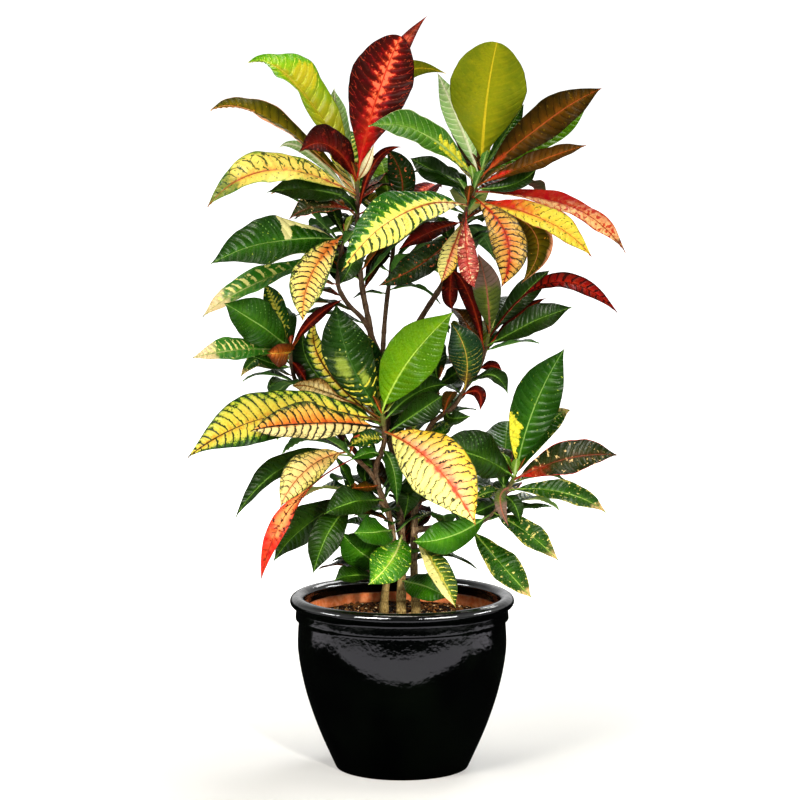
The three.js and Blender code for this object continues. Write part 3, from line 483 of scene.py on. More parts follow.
def closed_faces(rows, around):
    """ring_faces, and a fan at each end to two more points that come after the rings."""
    faces = ring_faces(rows, around)
    first, last = rows * around, (rows - 1) * around
    for i in range(around):
        j = (i + 1) % around
        faces.append((first, j, i))
        faces.append((first + 1, last + i, last + j))
    return faces


# ---- Leaves ---------------------------------------------------------------------------------

COLUMNS = np.array([0, 0.045, 0.1, 0.18, 0.28, 0.39, 0.5, 0.61, 0.72, 0.82, 0.91, 0.97, 1.0])
ACROSS = np.concatenate([-COLUMNS[:0:-1], COLUMNS])
STALK_ROWS = 4
BLADE_ROWS = (20, 100)
ROW_SPACING = 2.4
BLADE_END = 0.996
BLADE_HALF_THICKNESS = 0.35
THINNEST_STALK = 0.8
THICKEST_STALK = 1.5
EDGE_RIPPLES = ((0.008, 5.5), (0.004, 13))
RIBS_A_LEAF = 17
RIB_SPACING = (5, 11)
RIB_SLANT = 0.3
RIB_HOOK = 0.34
GROOVE_DEPTH = 0.7
GROOVE_WIDTH = 1.4
RIDGE_RADIUS = 1.5
TIP_POINT = 0.004


def blade_share(outline, along):
    """How wide a blade is along its length, as a share of its width."""
    widest, at_base, at_tip = outline
    fullness = at_base + (at_tip - at_base) * along * along
    return np.sin(np.pi * np.clip(along, 1e-9, 1) ** widest).clip(0) ** fullness


def midrib(leaf, along):
    """Points of a leaf's midrib, and the ways aside and up from them."""
    root, middle, tip = leaf["root"], leaf["middle"], leaf["tip"]
    bend = 2 * middle - 0.5 * root - 0.5 * tip
    u = along[:, None]
    centre = (1 - u) ** 2 * root + 2 * u * (1 - u) * bend + u ** 2 * tip
    way = unit(2 * (1 - u) * (bend - root) + 2 * u * (tip - bend))
    faces = np.asarray(leaf["faces"], dtype=float)
    up = unit(faces - way * (way @ faces)[:, None])
    return centre, np.cross(way, up), up


def leaf_points(leaf, seed):
    """Points of one closed leaf, ring by ring, and what its colouring reads at each point."""
    path = midrib(leaf, np.linspace(0, 1, 41))[0]
    length = np.linalg.norm(np.diff(path, axis=0), axis=1).sum()
    stalk = min(LONGEST_STALK, max(SHORTEST_STALK, STALK_SHARE * length)) / length
    rows = int(np.clip(round(length / ROW_SPACING), *BLADE_ROWS))
    even = np.linspace(0, 1, rows + 1)
    blade = 0.7 * even + 0.3 * (1 - np.cos(np.pi * even)) / 2
    blade[-1] = BLADE_END
    along = np.concatenate([
        np.linspace(0, stalk, STALK_ROWS + 1)[:-1], stalk + (1 - stalk) * blade,
    ])
    blade = np.concatenate([np.zeros(STALK_ROWS), blade])
    centre, side, up = midrib(leaf, along)

    width, fold = leaf["width"], math.radians(leaf["fold"])
    stalk_radius = min(THICKEST_STALK, max(THINNEST_STALK, 0.03 * width))
    edge = 1
    for number, (depth, count) in enumerate(EDGE_RIPPLES, start=3):
        edge = edge + depth * np.sin(2 * np.pi * (count * blade + draw(seed, number)))
    half = np.sqrt((0.5 * width * blade_share(leaf["outline"], blade) * edge) ** 2
                   + (stalk_radius * (1 - blade)) ** 2)

    s = ACROSS[None, :]
    reach = np.abs(s)
    b, h = blade[:, None], half[:, None]
    x, y = h * s, along[:, None] * length
    closest, widest = RIB_SPACING
    spacing = min(widest, max(closest, length / RIBS_A_LEAF))
    rib = (y - RIB_SLANT * np.abs(x) - RIB_HOOK * h * reach ** 3) / spacing + 0.5 * (s > 0)
    rib = rib + 0.12 * np.sin(0.9 * rib + 6 * draw(seed, 5))

    # Height over the flat blade: the fold, waves of three sizes, pillows between the ribs.
    phase = np.where(s > 0, draw(seed, 1), draw(seed, 2))
    lift = h * math.sin(fold) * reach * (1.3 - 0.3 * reach)
    swell = np.sin(np.pi * b)
    wave = EDGE_WAVE * CRUMPLED.get(seed, 1) * width * swell
    lift = lift + wave * np.sin(2 * np.pi * (2.5 * b + phase)) * reach ** 1.4
    lift = lift + 0.5 * wave * np.sin(2 * np.pi * (1.3 * b + 1.7 * phase + 0.4 * s))
    lift = lift + 0.010 * width * swell * np.sin(2 * np.pi * (7 * b + 2 * phase)) * reach ** 3
    pillow = (0.4 + 0.026 * width) * np.sin(np.pi * np.clip(reach * 1.05, 0, 1)) ** 0.7
    pillow = pillow * smoothstep(0, 0.1, b)
    lift = lift - pillow * (0.5 + 0.5 * np.cos(2 * np.pi * rib)) ** 2
    groove = GROOVE_DEPTH * np.exp(-(x / GROOVE_WIDTH) ** 2) * (1 - 0.6 * b) * smoothstep(0, 0.06, b)
    ridge_radius = RIDGE_RADIUS * (1 - 0.75 * b)
    ridge = 1.1 * ridge_radius * np.exp(-(x / ridge_radius) ** 2)
    thickness = BLADE_HALF_THICKNESS * (1 - reach ** 8)

    # The round stalk widens into the two sides of the blade, which meet at its edges.
    to_blade = smoothstep(0, 0.05, b)
    round_stalk = stalk_radius * np.sqrt(np.clip(1 - reach ** 2, 0, 1)) * np.ones_like(b)
    top = to_blade * (lift - groove + thickness) + (1 - to_blade) * round_stalk
    under = to_blade * (lift - thickness - ridge) - (1 - to_blade) * round_stalk
    top[:, [0, -1]] = under[:, [0, -1]] = (to_blade * lift)[:, [0, -1]]
    out = x * (to_blade * math.cos(fold) + 1 - to_blade)
    upper, lower = (
        centre[:, None] + side[:, None] * out[..., None] + up[:, None] * height[..., None]
        for height in (top, under)
    )
    points = np.concatenate([upper, lower[:, -2:0:-1]], axis=1)

    def both(values, below=None):
        values = values * np.ones_like(top)
        below = values if below is None else below * np.ones_like(top)
        return np.concatenate([values, below[:, -2:0:-1]], axis=1)

    patch = np.zeros_like(top)
    for spot, spot_across, spot_length, spot_width in PATCHES.get(seed, []):
        away = ((b - spot) / spot_length) ** 2 + ((s - spot_across) / spot_width) ** 2
        patch = np.maximum(patch, np.exp(-away))
    return points, {
        "blade": np.stack([both(s), both(b), both(1, 0)], axis=-1),
        "ribs": np.stack([both(x), both(y), both(rib)], axis=-1),
        "own": np.stack([both(seed * 7.31), both(patch), both(draw(seed, 6))], axis=-1),
    }


def leaves_piece(name, leaves):
    """One mesh of leaves of one colouring. leaves holds pairs of a leaf and its number."""
    all_points, all_faces, all_rows, count = [], [], {}, 0
    for leaf, seed in leaves:
        points, rows_of = leaf_points(leaf, seed)
        rows, around = points.shape[:2]
        tip = points[-1].mean(axis=0) + TIP_POINT * (leaf["tip"] - leaf["middle"])
        all_points += [points.reshape(-1, 3), [points[0].mean(axis=0), tip]]
        all_faces += [tuple(i + count for i in face) for face in closed_faces(rows, around)]
        count += rows * around + 2
        for title, values in rows_of.items():
            tips = [values[0].mean(axis=0), values[-1].mean(axis=0)]
            all_rows.setdefault(title, []).extend([values.reshape(-1, 3), tips])
    attributes = {title: np.concatenate(values) for title, values in all_rows.items()}
    material = leaf_material(leaves[0][0]["colouring"])
    return add_piece(name, np.concatenate(all_points), all_faces, material, attributes)


def near_leaf(row):
    stem, back, middle, tip, width, faces, fold, colouring, *outline = row
    curve = stem_curves[stem]
    return {
        "stem": stem, "root": curve.place(curve.length - back), "middle": seen(middle),
        "tip": seen(tip), "width": width, "faces": faces, "fold": fold,
        "outline": outline[0] if outline else OVAL, "colouring": colouring,
    }


def far_leaf(row):
    stem, back, heading, lift, length, width, droop, colouring = row
    curve = stem_curves[stem]
    root = curve.place(curve.length - back)
    turn, rise = math.radians(heading), math.radians(lift)
    level = math.cos(rise)
    way = np.array([math.cos(turn) * level, math.sin(turn) * level, math.sin(rise)])
    arch = np.array([0, 0, FAR_ARCH * length - FAR_SAG * droop])
    return {
        "stem": stem, "root": root, "middle": root + way * FAR_MIDDLE * length + arch,
        "tip": root + way * length - np.array([0, 0, droop]), "width": width,
        "faces": (0, 0, 1), "fold": FAR_FOLD, "outline": OVAL, "colouring": colouring,
    }


def far_leaves(table):
    return [far_leaf((stem, *row)) for stem, rows in table for row in rows]


def point_tree(points):
    tree = KDTree(len(points))
    for index, point in enumerate(points):
        tree.insert(point, index)
    tree.balance()
    return tree


def blade_grid(leaf, rows=9):
    """A few points spread over a leaf's blade, without its folds and waves."""
    u = np.linspace(0.12, 0.97, rows)
    centre, side, up = midrib(leaf, u)
    half = 0.5 * leaf["width"] * blade_share(leaf["outline"], u[:, None])
    fold = math.radians(leaf["fold"])
    out, lift = side * half * math.cos(fold), up * half * math.sin(fold)
    return np.concatenate([centre] + [centre + out * s + lift * abs(s) for s in (-1, -0.5, 0.5, 1)])


def pick(rng, choices):
    return choices[int(rng.random() * len(choices))]


def inner_leaves(grown):
    """Rows of small leaves inside the crown, each where the leaves grown so far leave room."""
    rng = np.random.default_rng(11)
    taken = [blade_grid(leaf, 24) for leaf in grown]
    everything = point_tree(np.concatenate(taken))
    shown = np.concatenate(taken[:len(LEAVES)])
    picture = point_tree(np.column_stack([place_in_picture(shown), np.zeros(len(shown))]))
    new = []

    def has_room(points, places):
        if not is_inside(CROWN, places).all() or is_inside(WINDOW, places).any():
            return False
        depth = points[:, 1]
        if depth.max() > DEEPEST or depth.min() < NEAREST:
            return False
        if points[:, 2].min() < RIM_HEIGHT + ABOVE_RIM:
            return False
        if any(everything.find(point)[2] < INNER_ROOM for point in points):
            return False
        return all(np.min(np.sum((points[:, None] - other[None]) ** 2, axis=-1)) >= INNER_ROOM ** 2
                   for other in new)

    def covered(points, places):
        """How many of the points lie in front of a leaf that the picture shows."""
        return sum(
            any(shown[index, 1] > point[1]
                for _, index, _ in picture.find_range((place[0], place[1], 0), COVER_REACH))
            for point, place in zip(points, places))

    rows = []
    for stem, wanted in INNER_LEAVES.items():
        length = stem_curves[stem].length
        turn, found = 360 * rng.random(), 0
        for _ in range(TRIES_A_LEAF * wanted):
            if found == wanted:
                break
            turn = (turn + GOLDEN_ANGLE + TURN_SPREAD * rng.random()) % 360
            back = length * INNER_REACH * rng.random() ** 1.3 + FIRST_NODE
            away = 0.5 + 0.5 * math.sin(math.radians(turn))
            size = INNER_LENGTH[0] + (INNER_LENGTH[1] + LONGER_BEHIND * away) * rng.random()
            colouring = pick(rng, INNER_COLOURINGS)
            row = (
                stem, back, turn, INNER_LIFT[0] + INNER_LIFT[1] * rng.random(), size,
                size * (INNER_WIDTH[0] + INNER_WIDTH[1] * rng.random()),
                INNER_DROOP * size * rng.random(), colouring,
            )
            points = blade_grid(far_leaf(row))
            places = place_in_picture(points)
            if has_room(points, places) and covered(points, places) <= COVER_SHARE * len(points):
                rows.append(row)
                new.append(points)
                found += 1
    return rows


def shoot_leaves():
    """Rows of the small young leaves that stand at the tip of every stem."""
    rng = np.random.default_rng(3)
    rows = []
    for stem in STEMS:
        turn = 360 * rng.random()
        for step in range(SHOOT_LEAVES):
            turn = (turn + GOLDEN_ANGLE) % 360
            size = SHOOT_LENGTH[0] + SHOOT_LENGTH[1] * step + SHOOT_LENGTH[1] * rng.random()
            back, lift = (first + more * step for first, more in (SHOOT_BACK, SHOOT_LIFT))
            colouring = pick(rng, SHOOT_COLOURINGS)
            rows.append((stem, back, turn, lift, size, SHOOT_WIDTH * size, SHOOT_DROOP, colouring))
    return rows


# ---- Materials ------------------------------------------------------------------------------

def linear(colour):
    values = [int(colour[i:i + 2], 16) / 255 for i in (1, 3, 5)]
    curved = [v / 12.92 if v <= 0.04045 else ((v + 0.055) / 1.055) ** 2.4 for v in values]
    return (*curved, 1.0)


def stops(text):
    """Places and colours of a ramp. A colour with no place stands at its start or its end."""
    parts = [part.split() for part in text.split(", ")]
    return [(float(part[0]) if len(part) > 1 else float(i > 0), linear(part[-1]))
            for i, part in enumerate(parts)]


class Graph:
    """Builds the nodes of one material, or of the world."""

    def __init__(self, name, home=None):
        self.owner = (bpy.data.materials if home is None else home).new(name)
        self.owner.use_nodes = True
        self.tree = self.owner.node_tree
        self.shader = self.tree.nodes.get("Principled BSDF")

    def node(self, kind, **settings):
        made = self.tree.nodes.new(kind)
        for key, value in settings.items():
            setattr(made, key, value)
        return made

    def put(self, socket, value):
        if isinstance(value, bpy.types.NodeSocket):
            self.tree.links.new(value, socket)
        else:
            socket.default_value = value

    def fill(self, made, values, output=0):
        """Puts values into a node by the names or numbers of its inputs, and gives an output."""
        for key, value in values.items():
            self.put(made.inputs[key], value)
        return made.outputs[output]

    def math(self, operation, *values):
        return self.fill(self.node("ShaderNodeMath", operation=operation), dict(enumerate(values)))

    def times(self, a, b):
        return self.math("MULTIPLY", a, b)

    def minus(self, a, b):
        return self.math("SUBTRACT", a, b)

    def scaled(self, a, b, c):
        """a times b, plus c."""
        return self.math("MULTIPLY_ADD", a, b, c)

    def size(self, a):
        return self.math("ABSOLUTE", a)

    def smooth(self, value, low, high, start=0.0, end=1.0, kind="SMOOTHSTEP"):
        return self.fill(self.node("ShaderNodeMapRange", interpolation_type=kind), {
            "Value": value, "From Min": low, "From Max": high, "To Min": start, "To Max": end})

    def mix(self, share, a, b):
        """A colour between two, each a hex text, four numbers or a socket."""
        a, b = (linear(c) if isinstance(c, str) else c for c in (a, b))
        return self.fill(self.node("ShaderNodeMix", data_type="RGBA"), {0: share, 6: a, 7: b}, 2)

    def between(self, share, a, b):
        """A number between two."""
        return self.fill(self.node("ShaderNodeMix"), {0: share, 2: a, 3: b})

    def ramp(self, value, text):
        made = self.node("ShaderNodeValToRGB")
        places = stops(text)
        bar = made.color_ramp.elements
        while len(bar) < len(places):
            bar.new(0.5)
        for element, (position, colour) in zip(bar, places):
            element.position, element.color = position, colour
        return self.fill(made, {0: value})

    def split(self, vector):
        made = self.node("ShaderNodeSeparateXYZ")
        self.put(made.inputs[0], vector)
        return made.outputs

    def read(self, title):
        return self.split(self.node("ShaderNodeAttribute", attribute_name=title).outputs["Vector"])

    def join(self, *values):
        return self.fill(self.node("ShaderNodeCombineXYZ"), dict(enumerate(values)))

    def place(self):
        return self.node("ShaderNodeNewGeometry").outputs["Position"]

    def noise(self, where, scale, detail=2.0, roughness=0.5):
        return self.fill(self.node("ShaderNodeTexNoise"), {
            "Vector": where, "Scale": scale, "Detail": detail, "Roughness": roughness})

    def cells(self, where, scale, feature="F1"):
        made = self.node("ShaderNodeTexVoronoi", feature=feature)
        return self.fill(made, {"Vector": where, "Scale": scale}, "Distance")

    def surface(self, colour, rough, shine=0.5):
        for title, value in (
                ("Base Color", colour), ("Roughness", rough), ("Specular IOR Level", shine)):
            self.put(self.shader.inputs[title], value)

    def bump(self, height, distance):
        normal = self.fill(self.node("ShaderNodeBump"), {"Height": height, "Distance": distance})
        self.put(self.shader.inputs["Normal"], normal)


# Colourings of the leaves. Places across and along a blade are shares of it.
# ramp: colours from the midrib (0) to the margin (1), moved by blotches (large and small), by
#   lopsided from one half to the other and by jag along the side ribs.
# ribs: colour, strength, thickness and, if they don't cover all of the blade, where on the ramp
#   they start and end. warp bends them, widen makes them thicker at the margin and crowd below 1
#   spaces them out. loops joins them by arcs: place, bulge and thickness. one_side keeps them on
#   one half and fades them to a share on the other, gaps breaks them where the noise is below
#   it, and stretch keeps them to a part of the length.
# midrib: colour and thickness. margin: colour and strength of the outermost edge.
# half: colour, the half it covers (-1 left, 1 right), how far it spreads over the midrib.
# base, tip: colour, end or start along the blade, strength. base_slant tilts the base's end.
# patch: colour of a leaf's own patches, frayed along the ribs by patch_jag, soft by patch_soft.
# net, dots, spots: colour; where on the ramp a net starts, how large dots are or how rare spots
#   are; strength.
# under: colours of the lower side at its middle, edge and midrib. under_ribs: how strong its
#   ribs are. shine and rough: the gloss of the upper side.
GREEN_BELOW = "#5E903C #4A7C30 #A0C070"
CREAM_BELOW = "#8AA850 #6E9444 #C4CC84"
ORANGE_BELOW = "#D9B070 #B9B05A #C47A48"
LOOKS = {
    "lime_net": dict(
        ramp="#B0B02A, 0.2 #8CB216, 0.5 #70A810, #56900A", blotch=(0.4, 0.2),
        ribs=("#CCD450", 0.85, 0.13, 0, 0.85), warp=0.6, midrib=("#C8B83A", 1.6),
        base=("#A2981A", 0.76, 0.88), patch="#B8AE20", patch_soft=0.12, spots=("#B8B42A", 0.62, 0.6),
        under="#A9B84A #7E9A34 #D9DC8C", shine=0.24),
    "brown": dict(
        ramp="#74480E, 0.2 #553806, 0.6 #422E04, #2A1E04", blotch=(0.4, 0.15),
        ribs=("#241604", 0.5, 0.2, 0, 1.2), midrib=("#A8562A", 1.4), base=("#C84A26", 0.22, 0.85),
        spots=("#7A6414", 0.63, 0.5), under="#5E4A1E #4A3A18 #B5602E", shine=0.07, rough=0.36),
    "pale": dict(
        ramp="#C0D29A, 0.5 #9CBC78, #7CA45C", blotch=(0.3, 0.15), ribs=("#E2ECC4", 0.5, 0.25),
        midrib=("#EEF2D0", 2.4), under="#A4BE84 #88AA6C #D2DEB4", rough=0.42),
    "cream": dict(
        ramp="#F4ECCB, 0.6 #E8DCB0, #C9B98A", blotch=(0.3, 0.15), ribs=("#CDBB84", 0.5, 0.2),
        midrib=("#B9864A", 1.4), under="#E0D6B0 #CFC298 #B9A878"),
    "maroon": dict(
        ramp="#7C2418, 0.25 #58160E, 0.7 #38100C, #280C0A", ribs=("#7A2418", 0.4, 0.1),
        midrib=("#A03C20", 1.6), base=("#8A1C12", 0.3, 0.6), spots=("#8A2E1C", 0.6, 0.6),
        under="#6A2A22 #4A1E1A #A04A32", shine=0.07),
    "maroon_splash": dict(
        ramp="#F6845A, 0.08 #F4764A, 0.14 #C43A24, 0.25 #861C14, 0.42 #56130E, #34100C",
        blotch=(0.42, 0.3), jag=-0.3, ribs=("#C0432C", 0.6, 0.06, 0.22, 0.8), warp=0.7,
        loops=(0.74, 0.26, 0.035), midrib=("#D8442C", 2), margin=("#200A0A", 0.6),
        base=("#C4231A", 0.5, 0.9), spots=("#D85A3A", 0.66, 0.9), under="#7A2A22 #4A1A1A #C4553A",
        shine=0.1, rough=0.36),
    "olive": dict(
        ramp="#8E8E0C, 0.45 #7A800A, #667006", blotch=(0.4, 0.1), ribs=("#565E06", 0.35, 0.2),
        midrib=("#BCA828", 2), spots=("#94941A", 0.62, 0.4), under="#868806 #6A7404 #C0AC22",
        under_ribs=0.1, shine=0.14, rough=0.4),
    "dark": dict(
        ramp="#34580E, 0.35 #223E08, #162A04", blotch=(0.4, 0.15), ribs=("#38701A", 0.3, 0.12),
        midrib=("#6E9438", 1.4), under="#4E7A32 #3A642A #86A858", rough=0.3),
    "dark_red": dict(
        ramp="#4E3A1E, 0.25 #323A16, 0.6 #263212, #1A260E", blotch=(0.45, 0.3),
        ribs=("#6A4426", 0.5, 0.1, 0.1, 1.1), midrib=("#8A4A32", 1.3), margin=("#D0302A", 0.85),
        base=("#B8281C", 0.32, 0.85), base_slant=-0.22, spots=("#E6C488", 0.62, 0.95),
        under="#6A4A38 #4A4A2C #A05A44", rough=0.27),
    "dark_orange": dict(
        ramp="#4E5A1C, 0.3 #2A4414, #1A300E", blotch=(0.35, 0.2), ribs=("#16260C", 0.5, 0.2, 0.1, 1.1),
        midrib=("#A8522C", 1.5), spots=("#E87A50", 0.62, 1), under="#5A6A38 #44562A #A07A4A",
        rough=0.28),
    "yellow_net": dict(
        ramp="#D8A83A, 0.08 #DCBE40, 0.3 #E2D050, 0.6 #D8D054, 0.74 #AEBC38, 0.86 #4C7A1C, #244A0E",
        blotch=(0.34, 0.26), lopsided=-0.14, jag=0.2, ribs=("#16300A", 0.97, 0.22, 0.06, 1.3),
        warp=0.6, widen=0.12, midrib=("#5E3A12", 1.7), margin=("#1A3A0C", 0.8),
        net=("#234A14", 0.5, 0.9), dots=("#2E3A10", 0.13, 0.9), under="#CFC878 #8FA04A #B9964A"),
    "yellow_arcs": dict(
        ramp="#E8A45A, 0.1 #ECC65A, 0.3 #EED46A, 0.78 #EBD668, 0.92 #C4C858, #7A9230",
        blotch=(0.25, 0.2), jag=0.1, ribs=("#1A3A10", 0.96, 0.2, 0.14, 1.2), warp=0.9, crowd=0.7,
        loops=(0.66, 0.24, 0.075), one_side=(1, 0.15), midrib=("#B8683A", 1.4),
        base=("#C86A4A", 0.16, 0.5), tip=("#3A6A22", 0.66, 0.8), dots=("#3A4A1A", 0.12, 0.8),
        spots=("#2E6018", 0.605, 0.95), under="#D9CC88 #B9B460 #B9864A"),
    "orange_net": dict(
        ramp="#E29C48, 0.08 #EAB45C, 0.28 #EEC668, 0.6 #F2DA7C, 0.84 #E8DC7C, 0.93 #A9B048, #4E6E20",
        blotch=(0.25, 0.16), jag=0.08, ribs=("#221A08", 0.98, 0.28, 0.03, 0.95), warp=0.7,
        loops=(0.7, 0.22, 0.075), midrib=("#C47434", 1.2), base=("#E06A24", 0.4, 0.85),
        net=("#2A4414", 0.5, 0.95), dots=("#33401A", 0.12, 0.9), under=ORANGE_BELOW),
    "orange_bars": dict(
        ramp="#D06420, 0.14 #E0862E, 0.34 #EAA040, 0.6 #EAB850, 0.8 #D9B850, 0.9 #6E7A28, #2A4612",
        blotch=(0.32, 0.24), jag=0.12, ribs=("#241806", 0.98, 0.26, 0.06, 1.2), warp=0.7, widen=0.1,
        midrib=("#221A08", 2.2), margin=("#24380E", 0.8), half=("#F0DC98", -1, -0.1),
        base=("#E06A2A", 0.2, 0.75), net=("#33481A", 0.55, 0.85), dots=("#33401A", 0.12, 0.9),
        under="#D9B070 #B9B05A #8A5A30"),
    "cream_net": dict(
        ramp="#D65640, 0.07 #E47A58, 0.18 #ECA676, 0.42 #EEBE72, 0.75 #E8BC4A, #D8AC30",
        blotch=(0.22, 0.1), ribs=("#1E220A", 0.98, 0.2, 0.08, 0.95), warp=1.2,
        loops=(0.72, 0.24, 0.08), midrib=("#B8582A", 1.6), margin=("#3E5A1A", 0.85),
        half=("#E6DC84", 1, -0.1), base=("#EFBE50", 0.16, 0.7), dots=("#3A4A1A", 0.11, 0.9),
        under="#E0D090 #C4C070 #C47A48"),
    "rust_net": dict(
        ramp="#C4381A, 0.1 #C85824, 0.24 #D48C3E, 0.6 #D8AA50, 0.88 #C09C46, #44461A",
        blotch=(0.28, 0.18), ribs=("#241406", 0.98, 0.26, 0.05, 1.2), warp=0.9,
        midrib=("#A82C14", 1.3), margin=("#2C2A0C", 0.8), net=("#2E2A0C", 0.45, 0.85),
        under="#C8905A #A8783A #B8502E"),
    "sparse_net": dict(
        ramp="#E8AC6C, 0.2 #EEC480, 0.6 #EED68A, 0.9 #D8C468, #4E5E20", blotch=(0.25, 0.15),
        ribs=("#22260C", 0.97, 0.2, 0.04, 1.1), warp=1, crowd=0.8, midrib=("#A8683A", 1.2),
        margin=("#2E3A10", 0.9), base=("#F2B868", 0.5, 0.4), net=("#2A3A12", 0.5, 0.9),
        under=ORANGE_BELOW),
    "splash": dict(
        ramp="#F0D060, 0.06 #F2E070, 0.42 #EEE26C, 0.5 #C4D848, 0.55 #4A861C, #265C0C",
        blotch=(0.5, 0.3), lopsided=0.6, jag=0.42, ribs=("#24420C", 0.97, 0.3, 0.08, 0.85), warp=0.5,
        one_side=(-1, 0.12), gaps=-0.12, midrib=("#B4602A", 1.5), base=("#F2E2A0", 0.28, 0.85),
        base_slant=0.3, spots=("#D4E07A", 0.61, 0.95), under="#A9B860 #5E8A38 #C4B468", rough=0.28),
    "green": dict(
        ramp="#487C16, 0.35 #34640C, #224A06", ribs=("#4E8C28", 0.3, 0.12), midrib=("#94B85E", 1.4),
        patch="#EDE45A", under=GREEN_BELOW, rough=0.3),
    "green_patch": dict(
        ramp="#3C7014, 0.35 #2A560A, #1A3E06", ribs=("#428028", 0.3, 0.12), midrib=("#8EB25C", 1.4),
        patch="#EBDD40", patch_jag=0.12, net=("#24500C", -1, 0.4), spots=("#BCD04A", 0.69, 0.85),
        under=GREEN_BELOW, rough=0.3),
    "light_veins": dict(
        ramp="#90B438, 0.15 #569020, 0.5 #3C7412, #28560C", blotch=(0.25, 0.15),
        ribs=("#CFE07A", 0.85, 0.1, 0.1, 0.75), warp=0.7, midrib=("#D4DE84", 1.6),
        spots=("#C9D850", 0.6, 0.9), under="#6E9C40 #4E8030 #B0C880", rough=0.26),
    "green_cream": dict(
        ramp="#3A6616, 0.3 #28500C, 0.75 #1E4208, 0.9 #2E5010, #9A9448", blotch=(0.5, 0.3), jag=-0.1,
        ribs=("#1A440C", 0.4, 0.15), midrib=("#8CA84C", 1.3), tip=("#E4BE84", 0.8, 0.85),
        spots=("#DCCC7C", 0.63, 0.9), under=CREAM_BELOW, rough=0.27),
    "cream_bars": dict(
        ramp="#6E9C34, 0.2 #3E8020, 0.8 #2C6C18, #5A8A34", blotch=(0.35, 0.2),
        ribs=("#ECE28E", 0.95, 0.4, 0.06, 0.78), warp=0.8, one_side=(1, 0.1), gaps=-0.1,
        stretch=(0.25, 0.85), midrib=("#BCC880", 1.2), tip=("#EDD2A0", 0.64, 0.85),
        spots=("#EFE48A", 0.63, 0.9), under=CREAM_BELOW),
    "dark_net": dict(
        ramp="#D8CE5A, 0.14 #C4C040, 0.26 #2E5A18, #183C0E", blotch=(0.45, 0.3), jag=0.4,
        ribs=("#16340E", 0.6, 0.2), midrib=("#A0A84A", 1.2), spots=("#DCCE50", 0.6, 0.9),
        under="#5E7A3A #446430 #90A060", rough=0.28),
    "orange_brown": dict(
        ramp="#D8862E, 0.3 #A85A1E, 0.7 #7A3E16, #5A2A12", blotch=(0.3, 0.15),
        ribs=("#5A2A10", 0.6, 0.2), midrib=("#E0B048", 1.8), under="#A8642C #7A4420 #C48A48"),
    # Lime leaves: their darker half (half, #527E08) is painted shade, as if in the shadow under the
    # fold.
    "lime": dict(
        ramp="#7AA210, 0.35 #6A960A, #568006", blotch=(0.35, 0.1), ribs=("#8ABA28", 0.35, 0.1),
        midrib=("#B4D45A", 1.6), half=("#527E08", 1, -0.02), under="#8CB040 #769C34 #C0D88C",
        shine=0.24, rough=0.28),
    "cream_brown": dict(
        ramp="#C9A860, 0.4 #E0CC94, 0.8 #B08A4C, #5E4420", blotch=(0.6, 0.4),
        ribs=("#5A3C1C", 0.6, 0.2), warp=1, midrib=("#8A5A2A", 1.4), spots=("#6A4420", 0.6, 0.8),
        under="#C4AC74 #9A8050 #8A6434", shine=0.15, rough=0.6),
    "red_orange": dict(
        ramp="#F2AC66, 0.4 #F09456, 0.8 #E45A3A, #C8342A", blotch=(0.4, 0.25),
        ribs=("#4A120A", 0.6, 0.18, 0.15, 0.9), warp=1, gaps=0, midrib=("#7A2C1A", 0.9),
        base=("#4A2A1A", 0.26, 0.95), tip=("#CC2A20", 0.6, 0.9), spots=("#3A120C", 0.565, 0.95),
        under="#C45A3A #9A3A28 #E09060", shine=0.2),
    "brown_red": dict(
        ramp="#704812, 0.4 #523608, #3C2806", ribs=("#36200A", 0.5, 0.2), midrib=("#A85A26", 1.3),
        base=("#DC2A22", 0.3, 0.95), under="#6E4A24 #54381C #B0683A", shine=0.08),
    "red_yellow": dict(
        ramp="#E0A840, 0.2 #DEBC44, 0.7 #DCC848, 0.9 #C4C040, #B8603A", blotch=(0.3, 0.2),
        ribs=("#26380E", 0.95, 0.15, 0.3, 0.95), warp=1, gaps=-0.03, midrib=("#B4481E", 1.1),
        margin=("#8A3A1A", 0.7), base=("#B82610", 0.48, 0.98), base_slant=0.25,
        spots=("#3A5A12", 0.63, 0.92), under="#C88A4A #A8703A #C86A40", shine=0.16),
    "red_cream": dict(
        ramp="#E49A62, 0.3 #EEB87A, 0.7 #EEC48A, 0.9 #E09058, #A8402A", blotch=(0.5, 0.3),
        ribs=("#A83022", 0.5, 0.14, 0.1, 0.9), warp=0.8, midrib=("#A83022", 1.2),
        base=("#A81810", 0.68, 0.97), base_slant=0.55, tip=("#4A2010", 0.82, 0.97),
        spots=("#C4361E", 0.535, 0.9), under="#C87A5A #A85A44 #D08A64", shine=0.16),
    "brown_green": dict(
        ramp="#8A8A3A, 0.3 #5E6A28, #46542A", blotch=(0.3, 0.12), ribs=("#3A4420", 0.5, 0.2),
        midrib=("#A86A54", 1.8), tip=("#7A5E58", 0.45, 0.85), under="#7A7A50 #5E6440 #A08060"),
    "pink_cream": dict(
        ramp="#C0483E, 0.4 #C87064, 0.7 #B04A42, #7A2020", blotch=(0.7, 0.4), jag=-0.25,
        ribs=("#7A1C18", 0.85, 0.32, 0.1, 0.85), warp=0.9, midrib=("#C8483A", 1.2),
        spots=("#EED0A4", 0.56, 0.95), under="#D89080 #B8645A #D88A70", shine=0.16),
    "veined": dict(
        ramp="#5E7A30, 0.2 #34542A, 0.6 #26442A, #1E3820", blotch=(0.45, 0.3),
        ribs=("#DCC850", 0.9, 0.12, 0, 0.9), stretch=(0, 0.5), midrib=("#D0B050", 1.3),
        margin=("#8A5A44", 0.6), base=("#8A5A30", 0.3, 0.6), spots=("#8A5A3A", 0.67, 0.6),
        under="#7A8A5A #5E7048 #C0A860", rough=0.27),
    "olive_brown": dict(
        ramp="#7A6A10, 0.3 #5E560A, 0.7 #4A4608, #363208", blotch=(0.4, 0.15),
